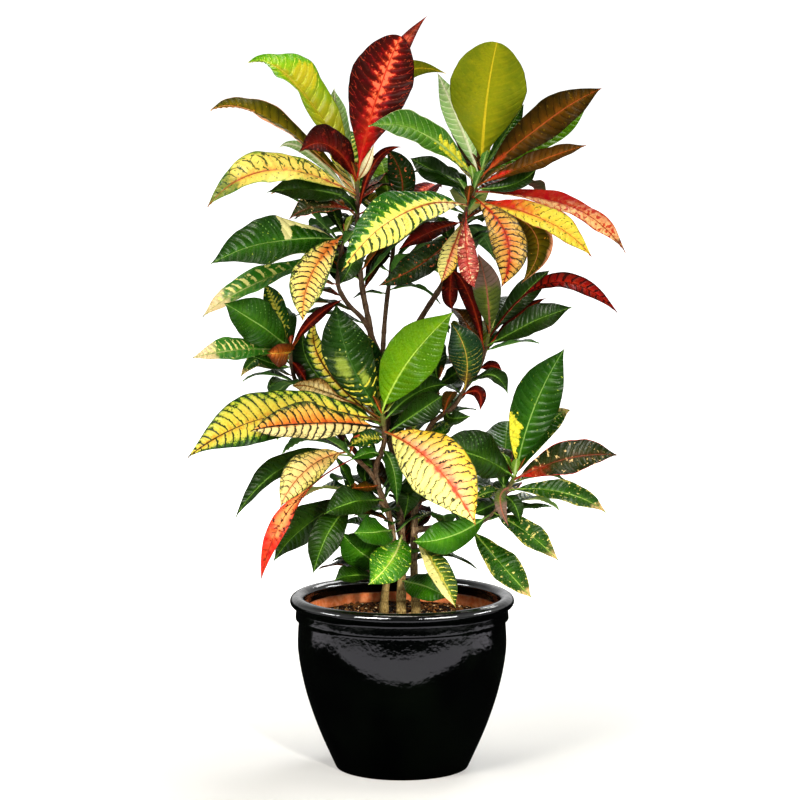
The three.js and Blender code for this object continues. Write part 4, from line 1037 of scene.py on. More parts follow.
        ribs=("#2A2604", 0.5, 0.2, 0, 1.2), midrib=("#C88A50", 1.4), margin=("#D89468", 0.9),
        half=("#D89A72", -1, -0.8), spots=("#D8902E", 0.67, 0.85), under="#C89A70 #A07048 #D8B088",
        shine=0.08),
    "pale_patch": dict(
        ramp="#366A12, 0.35 #26500A, #183A06", ribs=("#3E7828", 0.3, 0.12), midrib=("#8EB25C", 1.3),
        patch="#DDD694", patch_jag=0.1, spots=("#BCD04A", 0.7, 0.85), under=GREEN_BELOW, rough=0.28),
    "mottled": dict(
        ramp="#325C14, 0.35 #24480C, #183406", ribs=("#E4D64A", 0.95, 0.3, 0.1, 1.1), warp=0.8,
        gaps=-0.05, stretch=(0.02, 0.3), midrib=("#4E7830", 1.3), patch="#98AA40", patch_jag=0.2,
        patch_soft=0.34, spots=("#D8DC78", 0.66, 0.8), under=GREEN_BELOW, rough=0.3),
    "deep_red": dict(
        ramp="#AC2E16, 0.35 #8A1C0E, 0.75 #74180C, #3A0A08", blotch=(0.35, 0.2),
        ribs=("#2E0A08", 0.9, 0.3, 0.1, 1.1), warp=0.6, midrib=("#5A140E", 1.5),
        base=("#D8683A", 0.16, 0.8), under="#7A2A22 #5A1C18 #A04A38", shine=0.1),
    "red_tip": dict(
        ramp="#EE8C64, 0.3 #DE6848, 0.6 #A83A28, #4A1410", blotch=(0.2, 0.12),
        ribs=("#7A2418", 0.6, 0.15, 0.1, 1.1), midrib=("#C84A32", 1.4), tip=("#4A1512", 0.7, 0.75),
        under="#C4694A #8A3A2A #D88A64", shine=0.14),
    "half_cream": dict(
        ramp="#C8C850, 0.15 #4E6A1C, 0.5 #2E4A12, #24400E", blotch=(0.4, 0.2),
        ribs=("#D8D060", 0.9, 0.2, 0.2, 0.9), warp=0.9, one_side=(-1, 0), midrib=("#B8A850", 1.3),
        half=("#DED28A", 1, -0.16), spots=("#4A5A1A", 0.61, 0.85), under=CREAM_BELOW),
    "light_patch": dict(
        ramp="#6E9A30, 0.35 #4A7C1C, #346412", ribs=("#A8C878", 0.5, 0.14), midrib=("#A8C46A", 1.5),
        margin=("#C8D090", 0.7), patch="#DCD43A", patch_jag=0.2, net=("#2E5A12", -1, 0.4),
        under="#8EB26A #78A058 #C0D49A", shine=0.26, rough=0.3),
}


@functools.cache
def leaf_material(title):
    look = LOOKS[title]
    g = Graph("leaf_" + title)
    s, b, upper = g.read("blade")
    x, y, rib = g.read("ribs")
    seed, patch, tone = g.read("own")
    where = g.join(x, y, seed)
    large = g.minus(g.noise(where, 0.11, 3.0), 0.5)
    small = g.minus(g.noise(where, 0.42, 3.0, 0.6), 0.5)
    reach = g.size(s)

    count = g.scaled(rib, look.get("crowd", 1.0), g.times(large, look.get("warp", 0.35)))
    count = g.math("ADD", count, g.times(small, 0.14))
    near_rib = g.size(g.scaled(g.math("FRACT", count), 2.0, -1.0))
    jag = g.minus(near_rib, 0.5)

    blotch, grain = look.get("blotch", (0.35, 0.15))
    zone = g.scaled(small, 2 * grain, g.scaled(large, 2 * blotch, reach))
    zone = g.scaled(s, look.get("lopsided", 0.0), zone)
    zone = g.scaled(jag, look.get("jag", 0.0), zone)
    colour = g.ramp(zone, look["ramp"])

    if "half" in look:
        tint, which, shift = look["half"]
        over = g.scaled(large, 0.5, g.scaled(s, which, shift))
        colour = g.mix(g.smooth(over, -0.12, 0.12), colour, tint)
    if "spots" in look:
        tint, rare, strength = look["spots"]
        mask = g.smooth(g.noise(where, 0.2, 3.0, 0.55), rare, rare + 0.035, 0.0, strength)
        colour = g.mix(mask, colour, tint)
    if "base" in look:
        tint, end, strength = look["base"]
        over = g.scaled(large, 0.3, g.scaled(reach, 0.25, b))
        over = g.scaled(s, look.get("base_slant", 0.0), over)
        colour = g.mix(g.smooth(over, end * 1.1, end * 0.3, 0.0, strength), colour, tint)
    if "tip" in look:
        tint, start, strength = look["tip"]
        over = g.scaled(large, 0.3, b)
        colour = g.mix(g.smooth(over, start, start + 0.16, 0.0, strength), colour, tint)
    if "patch" in look:
        ragged = g.scaled(large, 0.7, g.scaled(small, 0.5, patch))
        ragged = g.scaled(jag, -look.get("patch_jag", 0.15), ragged)
        soft = look.get("patch_soft", 0.04)
        colour = g.mix(g.smooth(ragged, 0.46 - soft, 0.46 + soft), colour, look["patch"])
    if "net" in look:
        tint, start, strength = look["net"]
        swirl = g.join(g.scaled(large, 9.0, x), g.scaled(small, 8.0, y), seed)
        lines = g.smooth(g.cells(swirl, 0.17, "DISTANCE_TO_EDGE"), 0.1, 0.03)
        lines = g.times(lines, g.smooth(zone, start, start + 0.2, 0.0, strength))
        colour = g.mix(lines, colour, tint)
    if "dots" in look:
        tint, size, strength = look["dots"]
        dot = g.smooth(g.cells(where, 0.2), size, 0.6 * size)
        dot = g.times(dot, g.smooth(large, -0.02, 0.04, 0.0, strength))
        colour = g.mix(dot, colour, tint)

    tint, strength, thickness, start, end = (*look["ribs"], 0.0, 1.1)[:5]
    wide = g.scaled(g.times(reach, reach), look.get("widen", 0.0), thickness)
    wide = g.scaled(large, thickness, wide)
    lines = g.smooth(g.math("ADD", g.scaled(small, 0.4, near_rib), wide), 1.0, 1.12)
    lines = g.times(lines, g.smooth(zone, start - 0.05, start + 0.08))
    if "loops" in look:
        where_loop, bulge, line = look["loops"]
        arc = g.scaled(large, 0.25, g.scaled(near_rib, -bulge, where_loop + bulge))
        from_arc = g.minus(reach, arc)
        lines = g.times(lines, g.smooth(from_arc, 0.04, 0.0))
        loop = g.smooth(g.size(g.scaled(small, 0.14, from_arc)), line, 0.4 * line)
        loop = g.times(loop, g.smooth(g.noise(where, 0.16, 1.0), 0.4, 0.47))
        lines = g.times(g.math("MAXIMUM", lines, loop), strength)
    else:
        lines = g.times(lines, g.smooth(zone, end + 0.08, end - 0.05, 0.0, strength))
    if "one_side" in look:
        which, left_over = look["one_side"]
        lines = g.times(lines, g.smooth(g.times(s, which), -0.06, 0.06, left_over, 1.0))
    if "gaps" in look:
        lines = g.times(lines, g.smooth(large, look["gaps"], look["gaps"] + 0.05))
    if "stretch" in look:
        first, last = look["stretch"]
        lines = g.times(lines, g.smooth(b, first - 0.05, first + 0.05))
        lines = g.times(lines, g.smooth(b, last + 0.08, last - 0.08))
    colour = g.mix(lines, colour, tint)

    tint, thick = look["midrib"]
    from_midrib = g.math("DIVIDE", g.size(x), g.scaled(b, -0.7 * thick, thick))
    midrib_mask = g.smooth(from_midrib, 1.0, 0.45)
    colour = g.mix(midrib_mask, colour, tint)
    tint, strength = look.get("margin", ("#3C4216", 0.4))
    colour = g.mix(g.smooth(reach, 0.94, 0.99, 0.0, strength), colour, tint)

    middle_under, edge_under, midrib_under = look["under"].split()
    below = g.mix(g.smooth(zone, 0.1, 0.9), middle_under, edge_under)
    below = g.mix(
        g.smooth(near_rib, 0.86, 0.97, 0.0, look.get("under_ribs", 0.5)), below, midrib_under)
    below = g.mix(g.smooth(from_midrib, 1.3, 0.6), below, midrib_under)
    colour = g.mix(upper, below, colour)

    light = g.scaled(tone, 0.16, g.scaled(small, 0.5, 0.92))
    colour = g.fill(g.node("ShaderNodeHueSaturation"), {
        "Hue": g.scaled(large, 0.03, 0.5), "Value": light, "Color": colour})
    dull = g.scaled(upper, -0.17, look.get("rough", 0.31) + 0.17)
    g.surface(colour, g.scaled(small, 0.22, dull), look.get("shine", 0.36))
    height = g.scaled(small, 0.35, g.times(g.smooth(near_rib, 0.4, 1.0), -0.55))
    height = g.scaled(midrib_mask, -0.5, height)
    height = g.scaled(g.noise(where, 1.6, 2.0), 0.12, height)
    g.bump(height, 0.0007)
    return g.owner


# Heights in metres between which the bark is darker, and below which the foot is pale.
DARK_BARK = (0.27, 0.42)
PALE_FOOT = (0.28, 0.21)
SCAR_SPACING = 13


def bark_material():
    g = Graph("bark")
    around, along, green = g.read("bark")
    height = g.split(g.place())[2]
    low = g.smooth(height, *DARK_BARK)
    where = g.join(g.times(around, 5.0), g.times(along, 0.22), green)
    streak = g.noise(where, 1.1, 4.0, 0.62)
    patchy = g.noise(g.join(around, g.times(along, 0.06), 3.0), 1.6, 3.0)
    wood = g.ramp(streak, "0.3 #33221A, 0.45 #5E4534, 0.6 #8F7558, 0.75 #C0AC88")
    wood = g.mix(g.smooth(patchy, 0.5, 0.62, 0.0, 0.55), wood, "#A8967A")
    wood = g.mix(g.smooth(low, 0.0, 1.0, 0.0, 0.5), wood, "#4E3020")
    foot = g.ramp(streak, "0.3 #5E4C28, 0.5 #A48C54, 0.68 #DCC88E")
    wood = g.mix(g.smooth(height, *PALE_FOOT, 0.0, 0.8), wood, foot)
    shoot = g.ramp(streak, "0.3 #3E4A1C, 0.55 #6F7C2E, 0.72 #9AA552")
    colour = g.mix(g.smooth(g.scaled(patchy, 0.5, green), 0.9, 1.3), wood, shoot)
    scar = g.smooth(g.math("FRACT", g.times(along, 1 / SCAR_SPACING)), 0.9, 1.0, 0.0, 0.55)
    colour = g.mix(scar, colour, "#2A1A12")
    g.surface(colour, g.smooth(streak, 0.2, 0.8, 0.55, 0.85))
    g.bump(g.minus(streak, scar), 0.0009)
    return g.owner


# ---- Stems ----------------------------------------------------------------------------------

STEM_SIDES = 18
STEM_ROW_SPACING = 2.5
FEWEST_STEM_ROWS = 12
NODE_SPACING = (13, 5)
NODE_BULGE = 0.10
ROOT_FLARE = 0.25
ROOT_FLARE_REACH = 34
NOT_ALONG = np.array([0.13, 1.0, 0.07])  # a way that no stem runs


def stem_piece(name, bark):
    curve = stem_curves[name]
    _, (start, end), shoot, _ = STEMS[name]
    seed = list(STEMS).index(name)
    rows = max(FEWEST_STEM_ROWS, round(curve.length / STEM_ROW_SPACING))
    along = np.linspace(0, curve.length, rows + 1)
    centre = curve.place(along)
    way = unit(np.gradient(centre, axis=0))
    across = unit(np.cross(way, NOT_ALONG))
    behind = np.cross(way, across)
    node = NODE_SPACING[0] + NODE_SPACING[1] * draw(seed, 1)
    bulge = NODE_BULGE * np.exp(-(((along / node) % 1 - 0.5) / 0.14) ** 2)
    lumps = 0.05 * np.sin(along / 7.3 + seed) + 0.04 * np.sin(along / 3.1 + 2 * seed)
    radius = (start + (end - start) * (along / curve.length)) * (1 + bulge + lumps)
    if name.endswith("trunk"):
        above_root = (along - TRUNK_DEPTH) / ROOT_FLARE_REACH
        radius = radius * (1 + ROOT_FLARE * np.exp(-above_root ** 2))
    to_tip = curve.length - along
    radius = radius * np.sqrt(np.clip(to_tip / (1.5 * end), 0.02, 1))
    turn = np.linspace(0, 2 * np.pi, STEM_SIDES, endpoint=False)[None, :]
    flutes = 1 + 0.05 * np.cos(3 * turn + along[:, None] / 40 + seed)
    spoke = across[:, None] * np.cos(turn)[..., None] - behind[:, None] * np.sin(turn)[..., None]
    points = centre[:, None] + spoke * (radius[:, None] * flutes)[..., None]
    same = np.ones_like(flutes)
    bark_rows = np.stack([
        (np.cos(turn) + 1.7 * seed) * same, along[:, None] * same,
        smoothstep(shoot, 0, to_tip)[:, None] * same,
    ], axis=-1)
    faces = ring_faces(rows + 1, STEM_SIDES)
    faces.append(tuple(range(STEM_SIDES - 1, -1, -1)))
    faces.append(tuple(range(rows * STEM_SIDES, (rows + 1) * STEM_SIDES)))
    return add_piece(
        "stem_" + name, points.reshape(-1, 3), faces, bark, {"bark": bark_rows.reshape(-1, 3)})


# ---- Pot and soil ---------------------------------------------------------------------------

POT_SIDES = 160
SOIL_SIDES = 120
SOIL_RINGS = 46
CURVE_STEPS = 12
BASE_CORNER = 4
FLOOR_CORNER = 10

# Points of the body's outline from its foot up: shares of the way out and of the way up.
BODY_POINTS = ((0, 0), (0.47, 0.27), (0.81, 0.53), (1, 0.79))
# Points of the collar, from the body's side and from the collar's lower or upper end.
COLLAR_FOOT = ((-0.8, -0.8), (0.3, -0.1), (2.3, 0.2), (2.85, 0.6), (2.95, 1.2), (2.9, 3.0))
COLLAR_HEAD = ((2.6, -7), (2.2, -3.5), (1.9, -1.0), (2.6, 0.3))
# The rim's roll: where its arc starts, in degrees, and how far each of its points turns.
ROLL_START = -62
ROLL_STEP = 9.2
ROLL_POINTS = 31

# Heights between which the glaze ends inside the pot, and below which the clay is darker.
GLAZE_EDGE = (192.5, 195.0)
DAMP_EDGE = (186.5, 183.5)
BLACK_GLAZE = ("#020303", "#060A06")


def catmull_row(points, steps):
    """Points of a uniform Catmull-Rom curve through points of a plane."""
    rows = []
    padded = [points[0]] + list(points) + [points[-1]]
    for i in range(1, len(padded) - 2):
        p0, p1, p2, p3 = (np.asarray(padded[k], dtype=float) for k in (i - 1, i, i + 1, i + 2))
        for step in range(steps):
            t = step / steps
            rows.append(0.5 * (2 * p1 + (p2 - p0) * t + (2 * p0 - 5 * p1 + 4 * p2 - p3) * t * t
                               + (3 * p1 - p0 - 3 * p2 + p3) * t ** 3))
    rows.append(np.asarray(points[-1], dtype=float))
    return rows


def body_outline():
    top = RIM_HEIGHT - ROLL_HEIGHT - COLLAR_HEIGHT
    widest, foot = BODY_DIAMETER / 2, BASE_DIAMETER / 2
    points = [((1 - out) * foot + out * widest, up * top) for out, up in BODY_POINTS]
    return catmull_row(points + [(widest - 1, top)], CURVE_STEPS)


def inner_outline(gap=0):
    """The pot's inner side from the floor up, or the soil's side that keeps a gap from it."""
    return [(radius - WALL - gap, height) for radius, height in body_outline()
            if height > FLOOR + FLOOR_CORNER]


def pot_outline():
    """Rows of (radius, height, glazed): outside from the foot up, over the roll, down inside."""
    body, side = body_outline(), BODY_DIAMETER / 2
    foot, collar_top = body[0][0], RIM_HEIGHT - ROLL_HEIGHT
    rows = [(0, 1.5, 0), (foot - 9, 1.5, 0), (foot - 7.5, 0.2, 0), (foot - 2, 0, 0.2)]
    rows += [(radius, max(height, 0.4), 1) for radius, height in body[:-1]]
    rows += [(side + out, collar_top - COLLAR_HEIGHT + up, 1) for out, up in COLLAR_FOOT]
    rows += [(side + out, collar_top + up, 1) for out, up in COLLAR_HEAD]
    across, middle = (RIM_DIAMETER - ROLL_WIDTH) / 2, RIM_HEIGHT - ROLL_HEIGHT / 2
    for step in range(ROLL_POINTS):
        turn = math.radians(ROLL_START + step * ROLL_STEP)
        rows.append((across + ROLL_WIDTH / 2 * math.cos(turn),
                     middle + ROLL_HEIGHT / 2 * math.sin(turn), 1))
    rows += [(radius, height, 0) for radius, height in reversed(inner_outline())]
    return rows + [(BASE_DIAMETER / 2 - BASE_CORNER, FLOOR, 0), (0, FLOOR, 0)]


def pot_piece(material):
    outline = np.array(pot_outline())
    turn = np.linspace(0, 2 * np.pi, POT_SIDES, endpoint=False)
    middle = outline[1:-1]
    wobble = 1 + 0.0011 * np.sin(3 * turn + 0.6) + 0.0007 * np.sin(7 * turn + 2.1)
    radius = middle[:, 0][:, None] * wobble[None, :]
    height = middle[:, 1][:, None] + 0 * radius
    points = np.stack([radius * np.cos(turn), radius * np.sin(turn), height], axis=-1)
    ends = [[0, 0, outline[0, 1]], [0, 0, outline[-1, 1]]]
    points = np.concatenate([points.reshape(-1, 3), ends])
    return add_piece("pot_glazed", points, closed_faces(len(middle), POT_SIDES), material)


def mark_glaze(piece):
    """Writes on each point how glazed it is: fully outside and over the roll, bare elsewhere."""
    outline = np.array(pot_outline())
    spots = np.zeros(len(piece.data.vertices) * 3)
    piece.data.vertices.foreach_get("co", spots)
    spots = spots.reshape(-1, 3) / MM
    radius, height = np.hypot(spots[:, 0], spots[:, 1]), spots[:, 2]
    away = np.hypot(radius[:, None] - outline[None, :, 0], height[:, None] - outline[None, :, 1])
    rows = np.stack([outline[np.argmin(away, axis=1), 2], radius, height], axis=-1)
    layer = piece.data.attributes.new("glaze", "FLOAT_VECTOR", "POINT")
    layer.data.foreach_set("vector", rows.astype(np.float32).ravel())


def drill(piece):
    """Cuts the drain holes through the pot's floor."""
    for i in range(DRAIN_HOLE_COUNT):
        angle = i / DRAIN_HOLE_COUNT * 2 * math.pi + math.pi / 2
        place = (DRAIN_HOLE_CIRCLE * math.cos(angle), DRAIN_HOLE_CIRCLE * math.sin(angle), FLOOR / 2)
        bpy.ops.mesh.primitive_cylinder_add(
            vertices=48, radius=DRAIN_HOLE_DIAMETER / 2 * MM, depth=(FLOOR + 6) * MM,
            location=[value * MM for value in place])
        drill_bit = bpy.context.object
        cut = piece.modifiers.new("drain", "BOOLEAN")
        cut.operation, cut.object, cut.solver = "DIFFERENCE", drill_bit, "EXACT"
        bpy.context.view_layer.objects.active = piece
        bpy.ops.object.modifier_apply(modifier=cut.name)
        bpy.data.objects.remove(drill_bit)


def pot_material():
    g = Graph("glazed_earthenware")
    glazed, _, height = g.read("glaze")
    spot = g.place()
    large, small, grit = g.noise(spot, 14.0, 2.0), g.noise(spot, 160.0, 3.0), g.noise(spot, 900.0, 2.0)
    outside = g.smooth(glazed, 0.5, 0.9)
    over = g.math("MAXIMUM", outside, g.smooth(g.scaled(large, 4.0, height), *GLAZE_EDGE))
    clay = g.mix(g.smooth(small, 0.35, 0.7), "#E8824C", "#F5A474")
    clay = g.mix(g.smooth(large, 0.5, 0.75, 0.0, 0.2), clay, "#D8703E")
    damp = g.smooth(g.scaled(small, 6.0, height), *DAMP_EDGE, 0.0, 0.35)
    clay = g.mix(damp, clay, "#9E5430")
    glaze = g.mix(g.smooth(large, 0.35, 0.7), *BLACK_GLAZE)
    glaze = g.mix(g.times(g.minus(1.0, outside), 0.75), glaze, "#3A1B0E")
    shine = g.mix(over, (0.82, 0.82, 0.82, 1), (0.055, 0.055, 0.055, 1))
    g.surface(g.mix(over, clay, glaze), shine, g.scaled(over, 0.6, 0.2))
    uneven = g.scaled(large, 1.8, g.times(small, 0.26))
    g.bump(g.scaled(g.minus(1.0, over), g.times(grit, 0.6), uneven), 0.0012)
    return g.owner


def soil_height(x, y):
    """Height of the soil's surface at a place, with its lumps."""
    edge = body_outline()[-1][0] - WALL - GAP
    reach = np.sqrt(x * x + y * y) / edge
    dome = SOIL_LEVEL + SOIL_MOUND * np.sin(np.clip(1 - reach, 0, 1) * np.pi / 2)
    lumps = 0.9 * np.sin(x / 5.1 + 1.3 * np.sin(y / 7.7)) * np.sin(y / 4.3 + 0.8 * np.sin(x / 6.1))
    lumps += 0.5 * np.sin(x / 1.9 + y / 2.7) * np.sin(y / 2.1 - x / 3.3)
    return dome + lumps * np.clip(1.05 - reach, 0, 0.4) / 0.4 - 1.2


def soil_piece(material):
    wall = [(BASE_DIAMETER / 2 - BASE_CORNER - GAP, FLOOR + GAP)] + inner_outline(GAP)[:-1]
    edge = body_outline()[-1][0] - WALL - GAP
    turn = np.linspace(0, 2 * np.pi, SOIL_SIDES, endpoint=False)
    rings = [np.stack([r * np.cos(turn), r * np.sin(turn), z + 0 * turn], axis=-1) for r, z in wall]
    for ring in range(SOIL_RINGS):
        reach = edge * (1 - ring / SOIL_RINGS)
        x, y = reach * np.cos(turn), reach * np.sin(turn)
        rings.append(np.stack([x, y, soil_height(x, y)], axis=-1))
    ends = [[0, 0, FLOOR + GAP], [0, 0, soil_height(np.array(0.0), np.array(0.0))]]
    return add_piece("soil_bed", np.concatenate(rings + [ends]),
                     closed_faces(len(rings), SOIL_SIDES), material)


# A regular solid of twelve corners, from which each crumb is made.
GOLDEN = (1 + 5 ** 0.5) / 2
LUMP = unit(np.array([
    (-1, GOLDEN, 0), (1, GOLDEN, 0), (-1, -GOLDEN, 0), (1, -GOLDEN, 0),
    (0, -1, GOLDEN), (0, 1, GOLDEN), (0, -1, -GOLDEN), (0, 1, -GOLDEN),
    (GOLDEN, 0, -1), (GOLDEN, 0, 1), (-GOLDEN, 0, -1), (-GOLDEN, 0, 1),
]))
LUMP_SIDES = (
    (0, 11, 5), (0, 5, 1), (0, 1, 7), (0, 7, 10), (0, 10, 11), (1, 5, 9), (5, 11, 4),
    (11, 10, 2), (10, 7, 6), (7, 1, 8), (3, 9, 4), (3, 4, 2), (3, 2, 6), (3, 6, 8),
    (3, 8, 9), (4, 9, 5), (2, 4, 11), (6, 2, 10), (8, 6, 7), (9, 8, 1),
)


def crumbs_piece(name, material, rng, count, smallest, largest, flat):
    """Crumbs that lie half sunk in the soil, each a small lump of its own shape."""
    edge = body_outline()[-1][0] - WALL - GAP - largest
    points, faces = [], []
    for _ in range(count):
        reach = edge * math.sqrt(rng.random())
        turn = 2 * math.pi * rng.random()
        x, y = reach * math.cos(turn), reach * math.sin(turn)
        size = smallest + (largest - smallest) * rng.random() ** 2
        shape = LUMP * (0.75 + 0.5 * rng.random((12, 1)))
        shape = shape * size * np.array([1.0, 0.6 + 0.5 * rng.random(), flat])
        spin = 2 * math.pi * rng.random()
        c, s = math.cos(spin), math.sin(spin)
        shape = shape @ np.array([[c, s, 0], [-s, c, 0], [0, 0, 1]])
        height = float(soil_height(np.array(x), np.array(y)))
        start = len(points) * len(LUMP)
        points.append(shape + np.array([x, y, height + 0.25 * size * flat]))
        faces += [tuple(corner + start for corner in side) for side in LUMP_SIDES]
    return add_piece(name, np.concatenate(points), faces, material, smooth=False)


def soil_material():
    g = Graph("potting_soil")
    spot = g.place()
    large, small = g.noise(spot, 60.0, 4.0, 0.7), g.noise(spot, 420.0, 4.0, 0.7)
    colour = g.ramp(small, "0.3 #060302, 0.52 #1A0E07, 0.64 #4E3018, 0.78 #A87C48")
    colour = g.mix(g.smooth(large, 0.45, 0.7, 0.0, 0.6), colour, "#140D08")
    g.surface(colour, g.smooth(small, 0.3, 0.8, 0.98, 0.8), 0.15)
    g.bump(g.math("ADD", small, large), 0.003)
    return g.owner


def crumb_material(title, dark, light, roughness):
    g = Graph(title)
    spot = g.place()
    coarse, fine = g.noise(spot, 90.0, 2.0), g.noise(spot, 900.0, 3.0)
    colour = g.mix(g.smooth(g.scaled(fine, 0.5, coarse), 0.55, 0.95), dark, light)
    g.surface(colour, g.smooth(fine, 0.3, 0.7, roughness, roughness - 0.15), 0.15)
    g.bump(fine, 0.0006)
    return g.owner


# ---- Everything in its place ----------------------------------------------------------------

def finish_piece(piece, slot_name, *nodes):
    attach(piece, "root")
    if nodes:
        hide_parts(*nodes)
    return piece


def finish_foliage(piece, stem):
    """Attaches a stem or leaf piece to the root and hides the solid of its plant, which it stands for.
    """
    plant = STEMS[stem][0]
    return finish_piece(piece, "foliage_" + plant, "plant_" + plant)


pot = pot_piece(pot_material())
drill(pot)
mark_glaze(pot)
finish_piece(pot, "glaze", "pot")

rng = np.random.default_rng(5)
finish_piece(soil_piece(soil_material()), "soil", "soil")
dark_crumbs = crumb_material("soil_crumb", "#0E0704", "#8A5E36", 0.95)
pale_crumbs = crumb_material("pale_crumb", "#B08048", "#F6DEB4", 0.9)
finish_piece(crumbs_piece(
    "soil_crumbs", dark_crumbs, rng, count=900, smallest=0.8, largest=3.6, flat=0.8), "soil")
finish_piece(crumbs_piece(
    "soil_flecks", pale_crumbs, rng, count=480, smallest=0.7, largest=2.5, flat=0.6), "soil")

bark = bark_material()
for stem_name in STEMS:
    finish_foliage(stem_piece(stem_name, bark), stem_name)

# Each leaf in LEAVES and FAR_LEAVES is a piece of its own, and small ones of a kind share one.
single = [near_leaf(row) for row in LEAVES] + far_leaves(FAR_LEAVES)
for number, leaf in enumerate(single):
    finish_foliage(leaves_piece(f"leaf_{number:03d}_{leaf['stem']}", [(leaf, number)]), leaf["stem"])

groups = {}
filling = far_leaves(FILLING)
small = [("inner", leaf) for leaf in filling]
small += [("inner", far_leaf(row)) for row in inner_leaves(single + filling)]
small += [("shoot", far_leaf(row)) for row in shoot_leaves()]
for number, (kind, leaf) in enumerate(small, start=len(single)):
    plant = STEMS[leaf["stem"]][0]
    groups.setdefault((kind, plant, leaf["colouring"]), []).append((leaf, number))
for (kind, plant, colouring), members in groups.items():
    finish_foliage(leaves_piece(f"{kind}_{plant}_{colouring}", members), members[0][0]["stem"])


# ---- Floor, light and camera, in metres -----------------------------------------------------

ROOM_LIGHT = 0.17
WHITE = (1, 1, 1)
WARM = (1.0, 0.96, 0.88)
COOL_GREY = (0.96, 0.93, 1.0)
FLOOR_SIDES = 96
FLOOR_RADII = (0.6, 1.5, 4.0, 10.0, 24.0)


def pale_floor():
    """A wide round floor under a white room, which it fades into away from the pot."""
    points = [(0, 0, 0)]
    for radius in FLOOR_RADII:
        for i in range(FLOOR_SIDES):
            turn = 2 * math.pi * i / FLOOR_SIDES
            points.append((radius / MM * math.cos(turn), radius / MM * math.sin(turn), 0))
    faces = [(0, 1 + i, 1 + (i + 1) % FLOOR_SIDES) for i in range(FLOOR_SIDES)]
    for row in range(len(FLOOR_RADII) - 1):
        for i in range(FLOOR_SIDES):
            low, j = 1 + row * FLOOR_SIDES, (i + 1) % FLOOR_SIDES
            high = low + FLOOR_SIDES
            faces.append((low + i, high + i, high + j, low + j))
    g = Graph("plain_floor")
    spot = g.place()
    g.surface(g.mix(g.noise(spot, 3.0, 4.0), (0.82, 0.82, 0.81, 1), (0.86, 0.86, 0.85, 1)), 0.9)
    from_pot = g.fill(g.node("ShaderNodeVectorMath", operation="LENGTH"), {0: spot}, "Value")
    g.put(g.shader.inputs["Emission Color"], (1, 1, 1, 1))
    g.put(g.shader.inputs["Emission Strength"], g.smooth(from_pot, 0.2, 1.9, 0.14, 1.0))
    floor = add_piece("stage_floor", points, faces, g.owner)
    floor.visible_glossy = False


def world_light():
    """An even white room. Reflections see it dark below the horizon and straight ahead, so that a
    dark glaze stays dark, and bright at both sides and behind."""
    g = Graph("studio", bpy.data.worlds)
    rays = g.node("ShaderNodeLightPath").outputs
    x, y, z = g.split(g.node("ShaderNodeTexCoord").outputs["Generated"])
    seen_up = g.smooth(z, -0.02, 0.12, 0.012, 0.9, "LINEAR")
    seen_aside = g.smooth(g.math("MAXIMUM", g.size(x), y), 0.4, 0.95, 0.2, 1.0, "LINEAR")
    level = g.between(rays["Is Glossy Ray"], ROOM_LIGHT, g.times(seen_up, seen_aside))
    g.fill(g.tree.nodes["Background"], {
        "Color": (1, 1, 1, 1), "Strength": g.between(rays["Is Camera Ray"], level, 1.0)})
    bpy.context.scene.world = g.owner


def lamp(name, kind, place, aim, power, colour):
    light = bpy.data.lights.new(name, kind)
    light.energy, light.color = power, colour
    holder = bpy.data.objects.new(name, light)
    bpy.context.collection.objects.link(holder)
    holder.location = place
    holder.rotation_euler = (Vector(aim) - Vector(place)).to_track_quat("-Z", "Y").to_euler()
    return holder


def area_light(name, place, aim, size, power, colour=WHITE):
    holder = lamp(name, "AREA", place, aim, power, colour)
    holder.data.shape = "RECTANGLE"
    holder.data.size, holder.data.size_y = size
    return holder


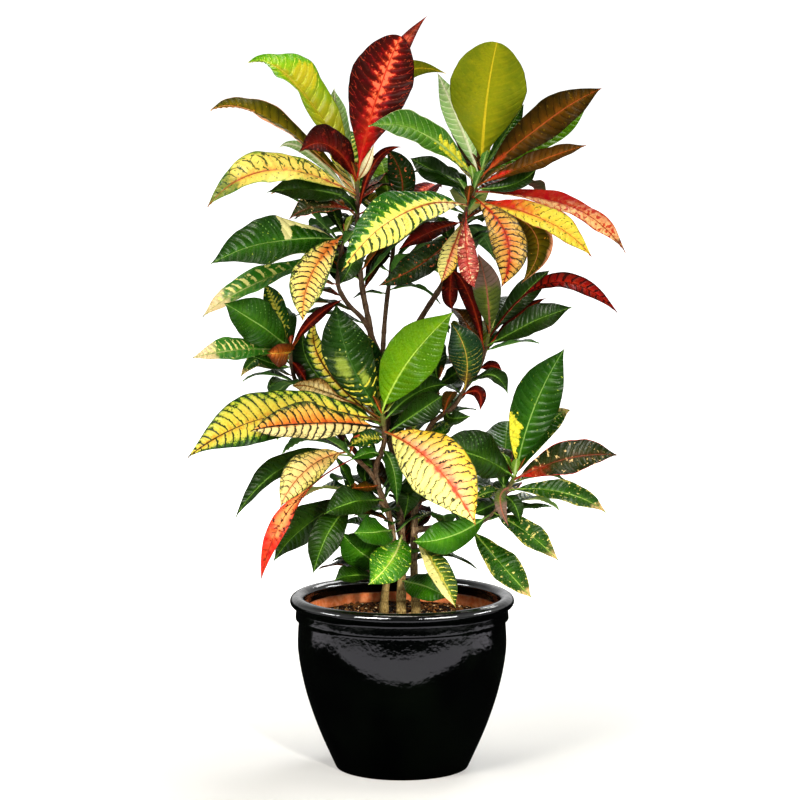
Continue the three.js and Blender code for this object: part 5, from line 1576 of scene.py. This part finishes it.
pale_floor()
world_light()
area_light("key", (-1.5, -2.2, 2.3), (0, 0, 0.5), (1.0, 1.0), 54, WARM)
area_light("fill", (1.9, -2.0, 1.5), (0, 0, 0.5), (1.0, 1.0), 15, WARM)
area_light("above", (0.1, 0.1, 2.6), (0, 0, 0.4), (1.2, 1.2), 26, WARM)
area_light("behind", (0.9, 1.6, 1.9), (0, 0, 0.5), (1.0, 1.0), 18)

# A narrow light over the rim, for the soil and the inside of the wall.
over_rim = lamp("over_rim", "SPOT", (0.6, -1.8, 0.8), (0, 0, 0.2), 150, WARM)
over_rim.data.spot_size = math.radians(15)
over_rim.data.spot_blend = 0.7
over_rim.data.shadow_soft_size = 0.12
over_rim.visible_glossy = False

# Panels that show only in the glaze: the streaks on the rim, and the pale floor below it.
mirrored = [
    area_light(f"streak_{name}", place, (0, 0, 0.2), size, power)
    for name, place, size, power in (
        ("left", (-1.5, -2.2, 2.3), (1.9, 1.0), 100),
        ("right", (1.9, -2.0, 1.9), (2.0, 1.0), 100),
        ("far_left", (-2.9, -0.4, 1.5), (1.0, 0.5), 26),
        ("far_right", (2.9, 0.2, 1.3), (1.0, 0.5), 26),
    )
] + [
    area_light(f"low_{name}", (x, y, 0.004), (x, y, 1), size, power, COOL_GREY)
    for name, x, y, size, power in (
        ("panel", 0, -0.90, (4.4, 1.12), 15),
        ("left", -1.9, 0.08, (1.5, 0.84), 4),
        ("right", 1.9, 0.08, (1.5, 0.84), 4),
    )
]
glazed = bpy.data.collections.new("mirrors_the_panels")
glazed.objects.link(pot)
for panel in mirrored:
    panel.light_linking.receiver_collection = glazed
    for kind in ("camera", "diffuse", "transmission", "volume_scatter"):
        setattr(panel, "visible_" + kind, False)

camera_data = bpy.data.cameras.new("camera")
camera_data.sensor_width = SENSOR_WIDTH
camera_data.lens = VIEW_FOCUS / VIEW_POINTS * SENSOR_WIDTH
camera_data.clip_end = 60
camera = bpy.data.objects.new("camera", camera_data)
camera.location = VIEWER * MM
camera.rotation_euler = (math.radians(90 - VIEW_TILT), 0, 0)
bpy.context.collection.objects.link(camera)
bpy.context.scene.camera = camera
bpy.context.scene.view_settings.view_transform = "Standard"
bpy.context.scene.view_settings.look = "Medium High Contrast"
